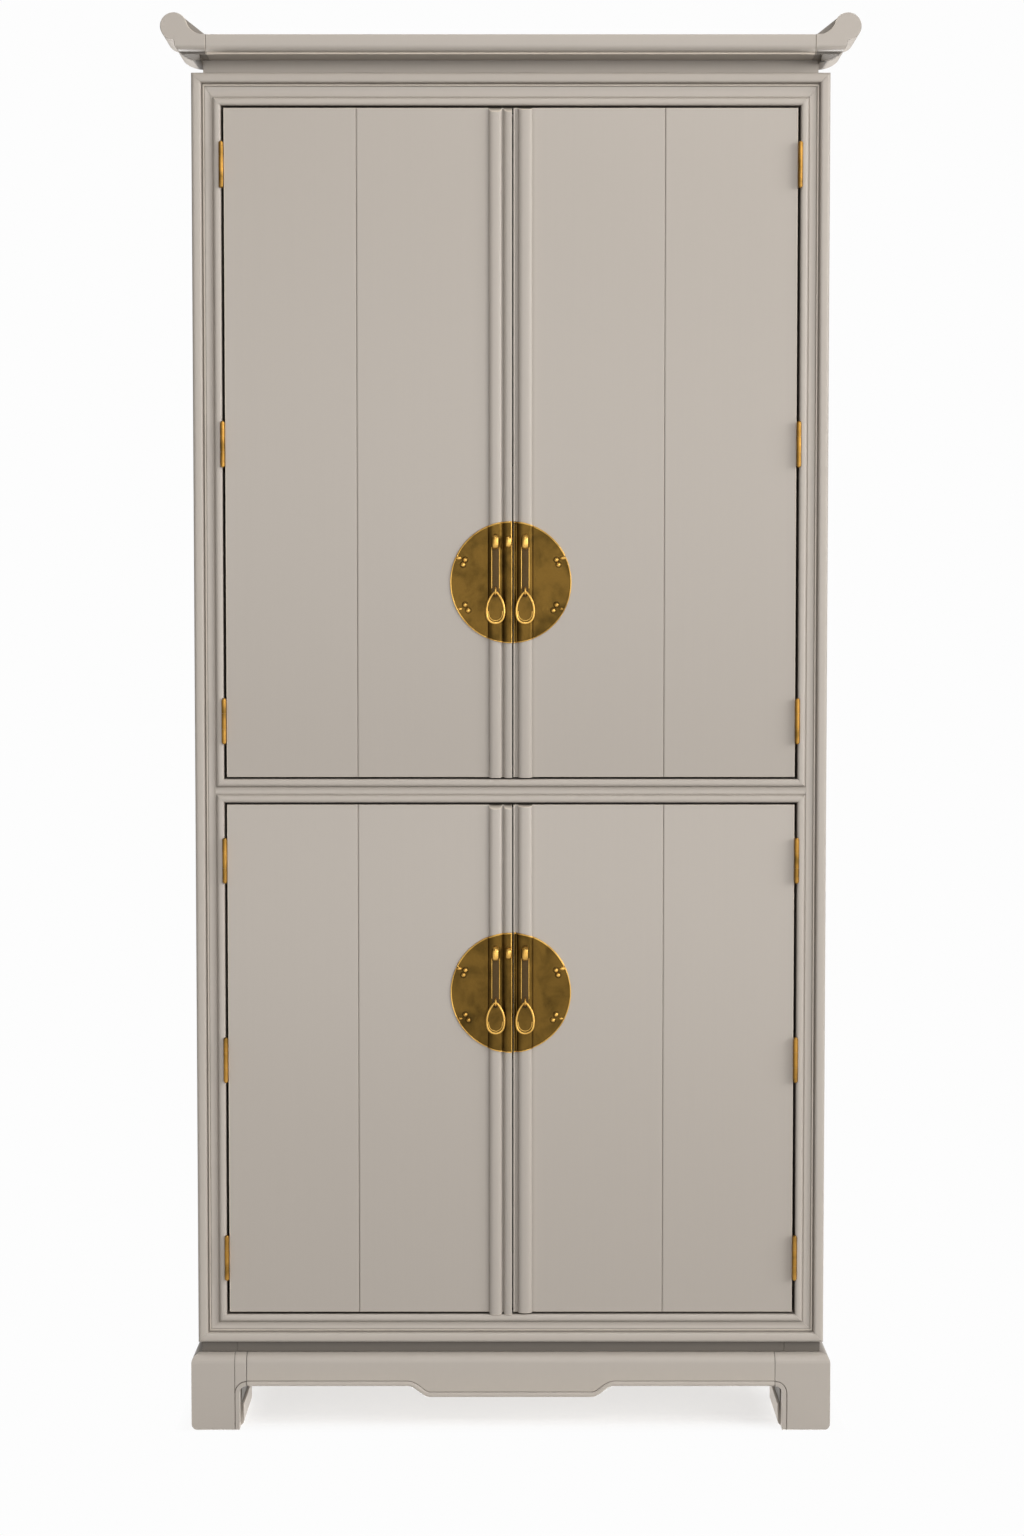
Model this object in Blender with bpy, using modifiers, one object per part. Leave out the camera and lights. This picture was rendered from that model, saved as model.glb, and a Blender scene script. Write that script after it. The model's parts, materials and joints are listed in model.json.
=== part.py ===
"""Tall two-tier cabinet: four doors, a beaded face frame, a scroll-ended cornice and a footed base.

Blender 4.5 script in metres, +Z up. The doors face -Y and the origin lies on the floor under the
middle of the cabinet. Each sub-part is one object in the collection "two_tier_cabinet". The shapes
that cut or join them stay in "two_tier_cabinet_cutters". Everything that swings is parented to an
empty on its joint's axis.
"""

import math

import bmesh
import bpy
from mathutils import Matrix

# Clearances
FIT = 0.0003
CUT_MARGIN = 0.005

# Carcass
CARCASS_WIDTH = 0.890
CARCASS_DEPTH = 0.500
SIDE_THICKNESS = 0.020
BACK_THICKNESS = 0.010
BOARD_THICKNESS = 0.020
SHELF_THICKNESS = 0.018
SHELF_SETBACK = 0.030
DADO_DEPTH = 0.006
UPPER_SHELF_RISE = 0.470
LOWER_SHELF_RISE = 0.360

# Face frame
OUTER_BEAD = 0.0140
OUTER_BEAD_PROUD = 0.0060
QUIRK = 0.0020
QUIRK_DEPTH = 0.0012
FILLET = 0.0030
FILLET_PROUD = 0.0015
INNER_BEAD = 0.0105
INNER_BEAD_PROUD = 0.0045
DIP = 0.0020
DIP_DEPTH = 0.0008
STILE_FLAT = 0.0093
TOP_RAIL_FLAT = 0.0136
MID_RAIL_FLAT = 0.0083
BOTTOM_RAIL_FLAT = 0.0085
UPPER_OPENING = 0.9394
LOWER_OPENING = 0.7302
STOP_THICKNESS = 0.010
STOP_LIP = 0.008
STOP_ROOT = 0.006

# Doors
DOOR_THICKNESS = 0.022
DOOR_GAP = 0.0028
STOP_CLEARANCE = 0.0008
MEETING_GAP = 0.0020
MEETING_OFFSET = 0.0028
MEETING_BEVEL = 0.0020
BOARD_GROOVE = 0.0030
BOARD_GROOVE_DEPTH = 0.0018
MEETING_BEAD_RISE = 0.0065
LEFT_BEAD_HALF = 0.0093
LEFT_BEAD_PLACE = 0.0233
LEFT_ROLL_HALF = 0.0090
LEFT_ROLL_RISE = 0.0064
LEFT_ROLL_PLACE = 0.0030
RIGHT_BEAD_HALF = 0.0101
RIGHT_BEAD_PLACE = 0.0164
RIGHT_ARRIS = 0.0022

# Hinges
HINGE_LENGTH = 0.061
HINGE_INSET = 0.079
MIDDLE_KNUCKLE = 0.022
KNUCKLE_GAP = 0.0004
KNUCKLE_RADIUS = 0.0034
PIN_RADIUS = 0.0016
PIN_CLEARANCE = 0.0003
PIN_HEAD_RADIUS = 0.0024
PIN_HEAD_CHAMFER = 0.0007
PIN_TIP = 0.0018
PIN_SHIFT = 0.0010
BARREL_CLEARANCE = 0.0020
LEAF_THICKNESS = 0.0012
LEAF_SPACING = 0.0006
LEAF_DEPTH = 0.018
LEAF_RELIEF = 0.0006

# Lock plates, their staples and eyes
PLATE_RADIUS = 0.085
PLATE_THICKNESS = 0.0012
PLATE_EDGE = 0.0003
UPPER_PLATE_RISE = 0.274
LOWER_PLATE_DROP = 0.2665
STAPLE_RISE = 0.0565
STAPLE_RADIUS = 0.0080
STAPLE_WIRE = 0.0022
STAPLE_WIDTH = 0.0082
STAPLE_STAND = 0.0030
SMALL_STAPLE_RADIUS = 0.0060
SMALL_STAPLE_WIDTH = 0.0072
SMALL_STAPLE_PLACE = 0.0050
EYE_DROP = 0.0125
EYE_RADIUS = 0.0047
EYE_WIRE = 0.0013

# Drop pulls
PULL_LENGTH = 0.0462
PULL_WIDTH = 0.028
PULL_BELLY = 0.0187
PULL_THICKNESS = 0.0026
PULL_RIM = 0.0017
PULL_STANDOFF = 0.0013
PULL_PLAY = 0.0003
PULL_SIDE_PLAY = 0.0005

# Cornice
NECK_HEIGHT = 0.020
NECK_INSET = 0.0155
NECK_FRONT_INSET = 0.012
CORNICE_SIDE_OVERHANG = 0.0384
CORNICE_THICKNESS = 0.0257
CORNICE_OVERHANG = 0.040
OVOLO_RADIUS = 0.0096
CORNICE_FILLET = 0.0025
SCROLL_RADIUS = 0.0186
SCROLL_RISE = 0.0297
SCROLL_HOLLOW = 0.0234
SCROLL_BELLY = 0.0148
SCROLL_NOTCH_INSET = 0.0193
SCROLL_DEPTH = 0.095
SCROLL_CARVING = 0.010
CORNICE_LAND = 0.0042

# Base
BASE_HEIGHT = 0.110
BASE_PROUD = 0.0098
WAIST_HEIGHT = 0.0155
WAIST_INSET = 0.004
SHOULDER_RADIUS = 0.0133
APRON_THICKNESS = 0.022
APRON_EDGE = 0.0635
APRON_DROP = 0.0158
APRON_DROP_HALF = 0.1154
APRON_CURVE = 0.032
EDGE_BEAD = 0.0066
EDGE_GROOVE = 0.0009
ARCH_RADIUS = 0.0102
FOOT_FACE = 0.0683
FOOT_DEPTH = 0.150
REAR_FOOT_DEPTH = 0.110
FOOT_CORNER = 0.009
FOOT_EDGE = 0.002
TOE_PROUD = 0.0044
TOE_STEP = 0.0030
TOE_HEIGHT = 0.031
TOE_ROUND = 0.008
TOE_SETBACK = 0.001

# Facets on the round shapes
BEAD_STEPS = 8
ARC_STEPS = 6
BARREL_SIDES = 12
PLATE_SIDES = 48
LOOP_STEPS = 10
TEAR_STEPS = 8

# Levels, from the floor up
CARCASS_BOTTOM = BASE_HEIGHT + WAIST_HEIGHT
OUTER_ZONE = OUTER_BEAD + QUIRK + FILLET
INNER_ZONE = INNER_BEAD + DIP
LOWER_SILL = CARCASS_BOTTOM + OUTER_ZONE + BOTTOM_RAIL_FLAT + INNER_ZONE
LOWER_HEAD = LOWER_SILL + LOWER_OPENING
UPPER_SILL = LOWER_HEAD + 2 * INNER_ZONE + MID_RAIL_FLAT
UPPER_HEAD = UPPER_SILL + UPPER_OPENING
CARCASS_TOP = UPPER_HEAD + INNER_ZONE + TOP_RAIL_FLAT + OUTER_ZONE
SOFFIT = CARCASS_TOP + NECK_HEIGHT
CORNICE_TOP = SOFFIT + CORNICE_THICKNESS

# Places across and through the cabinet
HALF_WIDTH = CARCASS_WIDTH / 2
HALF_OPENING = HALF_WIDTH - OUTER_ZONE - STILE_FLAT - INNER_ZONE
HALF_INSIDE = HALF_WIDTH - SIDE_THICKNESS
CORNICE_TIP = HALF_WIDTH + CORNICE_SIDE_OVERHANG
FACE = (CORNICE_OVERHANG - CARCASS_DEPTH) / 2
BACK = FACE + CARCASS_DEPTH
FRAME_BACK = FACE + DOOR_THICKNESS + STOP_CLEARANCE
RAIL_BACK = FRAME_BACK + STOP_THICKNESS
PANEL_FRONT = BACK - BACK_THICKNESS
MITRE_REACH = STOP_LIP + CUT_MARGIN

# Hinge and door places
HINGE_GAP = 2 * (FIT + LEAF_THICKNESS) + LEAF_SPACING
PIN_X = HALF_OPENING - HINGE_GAP / 2 + PIN_SHIFT
PIN_PROUD = INNER_BEAD_PROUD + BARREL_CLEARANCE
PIN_Y = FACE - PIN_PROUD
DOOR_EDGE = HALF_OPENING - HINGE_GAP
DOOR_LEVELS = {"upper": (UPPER_SILL + DOOR_GAP, UPPER_HEAD - DOOR_GAP),
               "lower": (LOWER_SILL + DOOR_GAP, LOWER_HEAD - DOOR_GAP)}
SIDES = {"left": -1, "right": 1}
MEETING_EDGES = {side: MEETING_OFFSET + sign * MEETING_GAP / 2 for side, sign in SIDES.items()}
BEAD_PLACES = {"left": LEFT_BEAD_PLACE, "right": RIGHT_BEAD_PLACE}
MOULDINGS = {"left": [(LEFT_ROLL_PLACE, LEFT_ROLL_HALF, LEFT_ROLL_RISE),
                      (LEFT_BEAD_PLACE, LEFT_BEAD_HALF, MEETING_BEAD_RISE)],
             "right": [(0.0, RIGHT_ARRIS, RIGHT_ARRIS),
                       (RIGHT_BEAD_PLACE, RIGHT_BEAD_HALF, MEETING_BEAD_RISE)]}
PLATE_LEVELS = {"upper": DOOR_LEVELS["upper"][0] + UPPER_PLATE_RISE,
                "lower": DOOR_LEVELS["lower"][1] - LOWER_PLATE_DROP}

# Base places
BASE_HALF = HALF_WIDTH + BASE_PROUD
BASE_FRONT = FACE - BASE_PROUD
BASE_TOP = BASE_HEIGHT - FIT
SHOULDER = min(SHOULDER_RADIUS, APRON_THICKNESS - CUT_MARGIN)
FOOT_JOINT = FOOT_FACE + ARCH_RADIUS
ARCH_SPRING = APRON_EDGE - ARCH_RADIUS
GROOVE_LIFT = EDGE_GROOVE / 4

# How an outline's two axes and its thickness lie in the cabinet
PLANES = {"plan": Matrix(((1, 0, 0), (0, 1, 0), (0, 0, 1))),
          "front": Matrix(((1, 0, 0), (0, 0, -1), (0, 1, 0))),
          "side": Matrix(((0, 0, 1), (1, 0, 0), (0, 1, 0)))}
THICKNESS_AXIS = {"plan": (0, 0, 1), "front": (0, 1, 0), "side": (1, 0, 0)}


# Scene, collections and finishes

def fresh_collection(name):
    """An empty collection of that name in the scene."""
    old = bpy.data.collections.get(name)
    if old:
        bpy.data.collections.remove(old)
    collection = bpy.data.collections.new(name)
    bpy.context.scene.collection.children.link(collection)
    return collection


def finish(name, colour, roughness, metallic):
    """A Principled material."""
    material = bpy.data.materials.get(name) or bpy.data.materials.new(name)
    material.use_nodes = True
    shader = material.node_tree.nodes["Principled BSDF"]
    shader.inputs["Base Color"].default_value = (*colour, 1.0)
    shader.inputs["Roughness"].default_value = roughness
    shader.inputs["Metallic"].default_value = metallic
    return material


for item in list(bpy.data.objects):
    bpy.data.objects.remove(item, do_unlink=True)
PARTS = fresh_collection("two_tier_cabinet")
CUTTERS = fresh_collection("two_tier_cabinet_cutters")
FRAME_LACQUER = finish("frame_lacquer", (0.42, 0.38, 0.33), 0.32, 0.0)
DOOR_LACQUER = finish("door_lacquer", (0.44, 0.40, 0.35), 0.30, 0.0)
BASE_LACQUER = finish("base_lacquer", (0.41, 0.37, 0.32), 0.34, 0.0)
INSIDE_LACQUER = finish("inside_lacquer", (0.36, 0.32, 0.27), 0.50, 0.0)
PLATE_BRASS = finish("plate_brass", (0.24, 0.15, 0.045), 0.38, 1.0)
PULL_BRASS = finish("pull_brass", (0.34, 0.21, 0.06), 0.32, 1.0)
HINGE_BRASS = finish("hinge_brass", (0.30, 0.22, 0.11), 0.40, 1.0)


# Shape helpers

def baked(shape):
    """The shape's evaluated mesh in world space, welded, with its faces pointing out."""
    bpy.context.view_layer.update()
    evaluated = shape.evaluated_get(bpy.context.evaluated_depsgraph_get())
    mesh = bpy.data.meshes.new_from_object(evaluated)
    mesh.transform(shape.matrix_world)
    edit = bmesh.new()
    edit.from_mesh(mesh)
    bmesh.ops.remove_doubles(edit, verts=edit.verts, dist=1e-6)
    bmesh.ops.recalc_face_normals(edit, faces=edit.faces)
    edit.to_mesh(mesh)
    edit.free()
    return mesh


def solid(name, mesh, material=None):
    """A smooth-shaded part, or a wire cutter where no material is given."""
    mesh.shade_smooth()
    mesh.set_sharp_from_angle(angle=math.radians(32))
    mesh.materials.clear()
    shape = bpy.data.objects.new(name, mesh)
    if material:
        mesh.materials.append(material)
        PARTS.objects.link(shape)
    else:
        CUTTERS.objects.link(shape)
        shape.hide_render = True
        shape.display_type = "WIRE"
    return shape


def from_curve(name, curve, matrix, material):
    """A curve turned into a welded mesh object."""
    shape = bpy.data.objects.new(name + "_curve", curve)
    CUTTERS.objects.link(shape)
    shape.matrix_world = matrix
    mesh = baked(shape)
    bpy.data.objects.remove(shape)
    return solid(name, mesh, material)


def fill_spline(spline, points, closed):
    """Puts points into a straight-sided spline."""
    spline.points.add(len(points) - 1)
    for spot, place in zip(spline.points, points):
        spot.co = (*place, 1.0)
    spline.use_cyclic_u = closed


def slab(name, outline, plane, low, high, material=None, hole=None):
    """A flat outline with thickness from low to high along the axis square to its plane."""
    curve = bpy.data.curves.new(name, "CURVE")
    curve.dimensions = "2D"
    curve.fill_mode = "BOTH"
    curve.extrude = (high - low) / 2
    for loop in filter(None, (outline, hole)):
        fill_spline(curve.splines.new("POLY"), [(a, b, 0.0) for a, b in loop], True)
    middle = [(low + high) / 2 * share for share in THICKNESS_AXIS[plane]]
    return from_curve(name, curve, Matrix.Translation(middle) @ PLANES[plane].to_4x4(), material)


def block(name, x, y, z, material=None):
    """A box between pairs of coordinates."""
    edit = bmesh.new()
    bmesh.ops.create_cube(edit, size=1.0)
    size = [high - low for low, high in (x, y, z)]
    middle = [(low + high) / 2 for low, high in (x, y, z)]
    bmesh.ops.scale(edit, vec=size, verts=edit.verts)
    bmesh.ops.translate(edit, vec=middle, verts=edit.verts)
    mesh = bpy.data.meshes.new(name)
    edit.to_mesh(mesh)
    edit.free()
    return solid(name, mesh, material)


def wire(name, points, radius, closed=False, stretch=1.0, material=None):
    """A round wire along points, widened along X by stretch about its own middle."""
    middle = sum(point[0] for point in points) / len(points)
    curve = bpy.data.curves.new(name, "CURVE")
    curve.dimensions = "3D"
    curve.bevel_depth = radius
    curve.bevel_resolution = 2
    curve.use_fill_caps = True
    fill_spline(curve.splines.new("POLY"), [(x - middle, y, z) for x, y, z in points], closed)
    widen = Matrix.Translation((middle, 0, 0)) @ Matrix.Diagonal((stretch, 1, 1, 1))
    return from_curve(name, curve, widen, material)


def turned(name, profile, sides):
    """A profile of (radius, height) pairs, from top to bottom, turned about Z."""
    edit = bmesh.new()
    spots = [edit.verts.new((radius, 0, height)) for radius, height in profile]
    for above, below in zip(spots, spots[1:]):
        edit.edges.new((above, below))
    mesh = bpy.data.meshes.new(name)
    edit.to_mesh(mesh)
    edit.free()
    shape = bpy.data.objects.new(name + "_profile", mesh)
    CUTTERS.objects.link(shape)
    lathe = shape.modifiers.new("turn", "SCREW")
    lathe.steps = lathe.render_steps = sides
    lathe.use_merge_vertices = True
    lathe.merge_threshold = 1e-5
    result = solid(name, baked(shape))
    bpy.data.objects.remove(shape)
    return result


def apply_tool(target, tool, operation):
    """Adds a Boolean modifier that cuts, joins or keeps the target with the tool."""
    step = target.modifiers.new(tool.name, "BOOLEAN")
    step.operation = operation
    step.object = tool
    return target


def cut(target, tool):
    """Takes the tool's shape away from the target."""
    return apply_tool(target, tool, "DIFFERENCE")


def fuse(target, tool):
    """Joins the tool's shape to the target."""
    return apply_tool(target, tool, "UNION")


def keep(target, tool):
    """Keeps only what the target and the tool share."""
    return apply_tool(target, tool, "INTERSECT")


def arc(centre, radius, start, end, steps=ARC_STEPS):
    """Points on a circle between two angles in degrees."""
    points = []
    for step in range(steps + 1):
        angle = math.radians(start + (end - start) * step / steps)
        points.append((centre[0] + radius * math.cos(angle), centre[1] + radius * math.sin(angle)))
    return points


def bead_line(start, width, proud):
    """A half-ellipse standing on a width of ground, as (place, height) pairs."""
    line = []
    for step in range(BEAD_STEPS + 1):
        angle = math.pi * step / BEAD_STEPS
        line.append((start + width / 2 * (1 - math.cos(angle)), proud * math.sin(angle)))
    return line


def offset_line(points, distance):
    """The open line moved sideways, to the left of its direction."""
    moved = []
    for index, (a, b) in enumerate(points):
        before = points[max(index - 1, 0)]
        after = points[min(index + 1, len(points) - 1)]
        run = (after[0] - before[0], after[1] - before[1])
        length = math.hypot(*run)
        moved.append((a - run[1] / length * distance, b + run[0] / length * distance))
    return moved


def swinging(name, location, parts, parent=None):
    """An empty on a joint's axis that carries the parts."""
    axis = bpy.data.objects.new(name, None)
    PARTS.objects.link(axis)
    axis.location = location
    if parent:
        axis.parent = parent
        axis.matrix_parent_inverse = parent.matrix_world.inverted()
    bpy.context.view_layer.update()
    for part in parts:
        part.parent = axis
        part.matrix_parent_inverse = axis.matrix_world.inverted()
    return axis


# Carcass

def carcass():
    """Two sides, back, bottom, divider and shelves. Shelves and divider are housed in the sides."""
    divider = (LOWER_HEAD + UPPER_SILL - BOARD_THICKNESS) / 2
    floor = CARCASS_BOTTOM + BOARD_THICKNESS
    shelves = {"divider_board": (divider, BOARD_THICKNESS, RAIL_BACK + FIT),
               "shelf_upper": (divider + BOARD_THICKNESS + UPPER_SHELF_RISE, SHELF_THICKNESS,
                               RAIL_BACK + SHELF_SETBACK),
               "shelf_lower": (floor + LOWER_SHELF_RISE, SHELF_THICKNESS, RAIL_BACK + SHELF_SETBACK)}
    dado = HALF_INSIDE + DADO_DEPTH
    for side, sign in SIDES.items():
        inner = [(HALF_INSIDE, CARCASS_BOTTOM)]
        for low, thickness, _ in sorted(shelves.values()):
            inner += [(HALF_INSIDE, low - FIT), (dado, low - FIT),
                      (dado, low + thickness + FIT), (HALF_INSIDE, low + thickness + FIT)]
        inner += [(HALF_INSIDE, CARCASS_TOP), (HALF_WIDTH, CARCASS_TOP), (HALF_WIDTH, CARCASS_BOTTOM)]
        slab("side_" + side, [(sign * x, z) for x, z in inner], "front", FRAME_BACK + FIT, BACK,
             FRAME_LACQUER)
    for name, (low, thickness, front) in shelves.items():
        reach = dado - FIT
        block(name, (-reach, reach), (front, PANEL_FRONT - FIT), (low, low + thickness), INSIDE_LACQUER)
    inside = HALF_INSIDE - FIT
    block("bottom_board", (-inside, inside), (RAIL_BACK + FIT, PANEL_FRONT - FIT),
          (CARCASS_BOTTOM, floor), INSIDE_LACQUER)
    block("back_panel", (-inside, inside), (PANEL_FRONT, BACK), (CARCASS_BOTTOM, CARCASS_TOP),
          INSIDE_LACQUER)


# Face frame

def outer_moulding():
    """Bead, quirk and fillet along the cabinet's outer edge, as (place, height) pairs."""
    return bead_line(0.0, OUTER_BEAD, OUTER_BEAD_PROUD) + [
        (OUTER_BEAD + QUIRK / 2, -QUIRK_DEPTH), (OUTER_BEAD + QUIRK, FILLET_PROUD),
        (OUTER_ZONE, FILLET_PROUD), (OUTER_ZONE, 0.0)]


def inner_moulding():
    """Bead and dip along a door opening, as (place, height) pairs from the opening outwards."""
    return bead_line(0.0, INNER_BEAD, INNER_BEAD_PROUD) + [
        (INNER_BEAD + DIP / 2, -DIP_DEPTH), (INNER_ZONE, 0.0)]


def frame_line(flat):
    """Front line of a stile or an outer rail, from the cabinet's edge to the opening."""
    width = OUTER_ZONE + flat + INNER_ZONE
    return outer_moulding() + [(width - place, height) for place, height in reversed(inner_moulding())]


def mitre(outer, opening, up, shift):
    """Right-hand joint line between stile and outer rail: the beads meet at 45 degrees."""
    line = [(HALF_WIDTH + MITRE_REACH, outer + up * MITRE_REACH),
            (HALF_WIDTH - OUTER_ZONE, outer - up * OUTER_ZONE),
            (HALF_OPENING + INNER_ZONE, opening + up * INNER_ZONE),
            (HALF_OPENING - MITRE_REACH, opening - up * MITRE_REACH)]
    return [(x + shift, z - up * shift) for x, z in line]


def scarf(shift):
    """Right-hand joint line between stile and middle rail, from the upper opening down."""
    line = [(HALF_OPENING - MITRE_REACH, UPPER_SILL + MITRE_REACH),
            (HALF_OPENING + INNER_ZONE, UPPER_SILL - INNER_ZONE),
            (HALF_OPENING + INNER_ZONE, LOWER_HEAD + INNER_ZONE),
            (HALF_OPENING - MITRE_REACH, LOWER_HEAD - MITRE_REACH)]
    return [(x + shift, z) for x, z in line]


def both_ends(line):
    """A closed outline from a right-hand end line and its mirror image."""
    return line + [(-x, z) for x, z in reversed(line)]


def stop_line(edge, away):
    """Back of a rail with the lip that the doors close against, as (depth, height) pairs."""
    return [(FRAME_BACK, edge), (FRAME_BACK, edge - away * STOP_LIP), (RAIL_BACK, edge - away * STOP_LIP),
            (RAIL_BACK, edge + away * STOP_ROOT), (FRAME_BACK, edge + away * STOP_ROOT)]


def face_frame():
    """Two stiles and three rails, their beads mitred where they meet."""
    front = FACE - OUTER_BEAD_PROUD - CUT_MARGIN
    behind = RAIL_BACK + CUT_MARGIN
    half_gap = FIT / 2
    stile_outline = (mitre(CARCASS_BOTTOM, LOWER_SILL, -1, half_gap) + scarf(half_gap)[::-1]
                     + mitre(CARCASS_TOP, UPPER_HEAD, 1, half_gap)[::-1])
    for side, sign in SIDES.items():
        section = [(sign * (HALF_WIDTH - place), FACE - height) for place, height in frame_line(STILE_FLAT)]
        section += [(sign * HALF_OPENING, FRAME_BACK), (sign * HALF_WIDTH, FRAME_BACK)]
        stile = slab("stile_" + side, section, "plan", CARCASS_BOTTOM, CARCASS_TOP, FRAME_LACQUER)
        keep(stile, slab("stile_mitres_" + side, [(sign * x, z) for x, z in stile_outline], "front",
                         front, behind))
    outer_rails = {"rail_top": (CARCASS_TOP, UPPER_HEAD, 1, TOP_RAIL_FLAT),
                   "rail_bottom": (CARCASS_BOTTOM, LOWER_SILL, -1, BOTTOM_RAIL_FLAT)}
    for name, (outer, opening, up, flat) in outer_rails.items():
        section = [(FACE - height, outer - up * place) for place, height in frame_line(flat)]
        section += stop_line(opening, up) + [(FRAME_BACK, outer)]
        rail = slab(name, section, "side", -HALF_WIDTH, HALF_WIDTH, FRAME_LACQUER)
        keep(rail, slab(name + "_mitres", both_ends(mitre(outer, opening, up, -half_gap)), "front",
                        front, behind))
    section = [(FACE - height, UPPER_SILL - place) for place, height in inner_moulding()]
    section += [(FACE - height, LOWER_HEAD + place) for place, height in reversed(inner_moulding())]
    section += stop_line(LOWER_HEAD, 1)[:3] + stop_line(UPPER_SILL, -1)[2::-1]
    rail = slab("rail_mid", section, "side", -HALF_WIDTH, HALF_WIDTH, FRAME_LACQUER)
    keep(rail, slab("rail_mid_mitres", both_ends(scarf(-half_gap)), "front", front, behind))


# Doors

def meeting_line(side, offset, start, end):
    """Front line of a door from its meeting edge, grown outwards by offset.

    Rounds of known half width and rise stand on flat ground, and the line follows the highest.
    """
    places = {start, end}
    rounds = []
    for place, half, rise in MOULDINGS[side]:
        radius = (half ** 2 + rise ** 2) / (2 * rise)
        sunk = radius - rise
        radius += offset
        rounds.append((place, radius, sunk))
        sweep = math.acos((sunk + offset) / radius)
        for step in range(BEAD_STEPS + 1):
            places.add(place + radius * math.sin(sweep * (2 * step / BEAD_STEPS - 1)))
    line = []
    for spot in sorted(places):
        if spot < start or spot > end:
            continue
        height = offset
        for place, radius, sunk in rounds:
            across = abs(spot - place)
            if across < radius:
                height = max(height, math.sqrt(radius ** 2 - across ** 2) - sunk)
        line.append((spot, height))
    return line


def door_outline(side):
    """Plan of a door: two boards with a groove between them, mouldings at the meeting edge."""
    width = DOOR_EDGE - SIDES[side] * MEETING_EDGES[side]
    place, half, _ = MOULDINGS[side][-1]
    field = place + half + QUIRK
    middle = (field + width) / 2
    line = meeting_line(side, 0.0, 0.0, place + half)
    line += [(field - QUIRK / 2, -QUIRK_DEPTH), (field, 0.0), (middle - BOARD_GROOVE / 2, 0.0),
             (middle, -BOARD_GROOVE_DEPTH), (middle + BOARD_GROOVE / 2, 0.0), (width, 0.0),
             (width, -DOOR_THICKNESS), (MEETING_BEVEL, -DOOR_THICKNESS)]
    return [(MEETING_EDGES[side] + SIDES[side] * place, FACE - height) for place, height in line]


# Lock plates, eyes and drop pulls

def loop(name, x, z, crown, stand, radius, thickness, width):
    """A wire staple that stands up from a plate, its hole facing sideways."""
    root = crown + PLATE_THICKNESS / 2
    bend = [(crown - stand - along, z + up) for along, up in arc((0, 0), radius, -90, 90, LOOP_STEPS)]
    path = [(x, root, z - radius)] + [(x, y, level) for y, level in bend] + [(x, root, z + radius)]
    return wire(name, path, thickness, stretch=width / (2 * thickness))


def crown_height(side, place):
    """How far a lock plate's face stands in front of the frame's ground at a place on the door."""
    return meeting_line(side, FIT + PLATE_THICKNESS, place, place)[0][1]


def lock_plate(tier, side):
    """Half of a round plate, formed over the door's mouldings, with its staples and pull eye."""
    sign = SIDES[side]
    edge = MEETING_EDGES[side]
    level = PLATE_LEVELS[tier]
    reach = PLATE_RADIUS + abs(edge) + CUT_MARGIN
    outside = meeting_line(side, FIT + PLATE_THICKNESS, PLATE_EDGE, reach)
    inside = meeting_line(side, FIT, PLATE_EDGE, reach)
    outline = [(edge + sign * place, FACE - height) for place, height in outside + inside[::-1]]
    tall = PLATE_RADIUS + CUT_MARGIN
    label = tier + "_" + side
    plate = slab("lock_plate_" + label, outline, "plan", level - tall, level + tall, PLATE_BRASS)
    disc = arc((0.0, level), PLATE_RADIUS, 0, 360 * (1 - 1 / PLATE_SIDES), PLATE_SIDES - 1)
    keep(plate, slab("plate_disc_" + label, disc, "front", FACE - tall, FACE + tall))
    staples = [("staple", BEAD_PLACES[side], STAPLE_RADIUS, STAPLE_WIDTH)]
    if side == "left":
        staples.append(("small_staple", SMALL_STAPLE_PLACE, SMALL_STAPLE_RADIUS, SMALL_STAPLE_WIDTH))
    for name, place, radius, width in staples:
        crown = FACE - crown_height(side, place)
        fuse(plate, loop(name + "_" + label, edge + sign * place, level + STAPLE_RISE, crown, STAPLE_STAND,
                         radius, STAPLE_WIRE, width))
    place = BEAD_PLACES[side]
    fuse(plate, loop("eye_" + label, edge + sign * place, level - EYE_DROP, FACE - crown_height(side, place),
                     PULL_RIM + PULL_STANDOFF, EYE_RADIUS, EYE_WIRE, 2 * EYE_WIRE))
    return plate


def pull_axis(tier, side):
    """Middle of the eye that a drop pull slides round."""
    place = BEAD_PLACES[side]
    stand = crown_height(side, place) + PULL_RIM + PULL_STANDOFF
    return (MEETING_EDGES[side] + SIDES[side] * place, FACE - stand, PLATE_LEVELS[tier] - EYE_DROP)


def tear_line(x, top, top_radius, bottom):
    """Middle line of a pull's rim: top, side, bottom and side arcs that run into each other."""
    belly = bottom + PULL_BELLY - PULL_RIM
    half = PULL_WIDTH / 2 - PULL_RIM
    rise = top - belly
    shift = (rise ** 2 - (half - top_radius) ** 2) / (2 * (half - top_radius))
    fall = belly - bottom
    low_radius = (half ** 2 + 2 * shift * half - fall ** 2) / (2 * (half + shift - fall))
    upper = math.degrees(math.atan2(rise, shift))
    lower = math.degrees(math.atan2(fall - low_radius, shift))
    tear = arc((x, top), top_radius, upper, 180 - upper, TEAR_STEPS)
    tear += arc((x + shift, belly), half + shift, 180 - upper, 180 + lower, TEAR_STEPS)[1:]
    tear += arc((x, bottom + low_radius), low_radius, 180 + lower, 360 - lower, TEAR_STEPS)[1:]
    return tear + arc((x - shift, belly), half + shift, -lower, upper, TEAR_STEPS)[1:-1]


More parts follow.
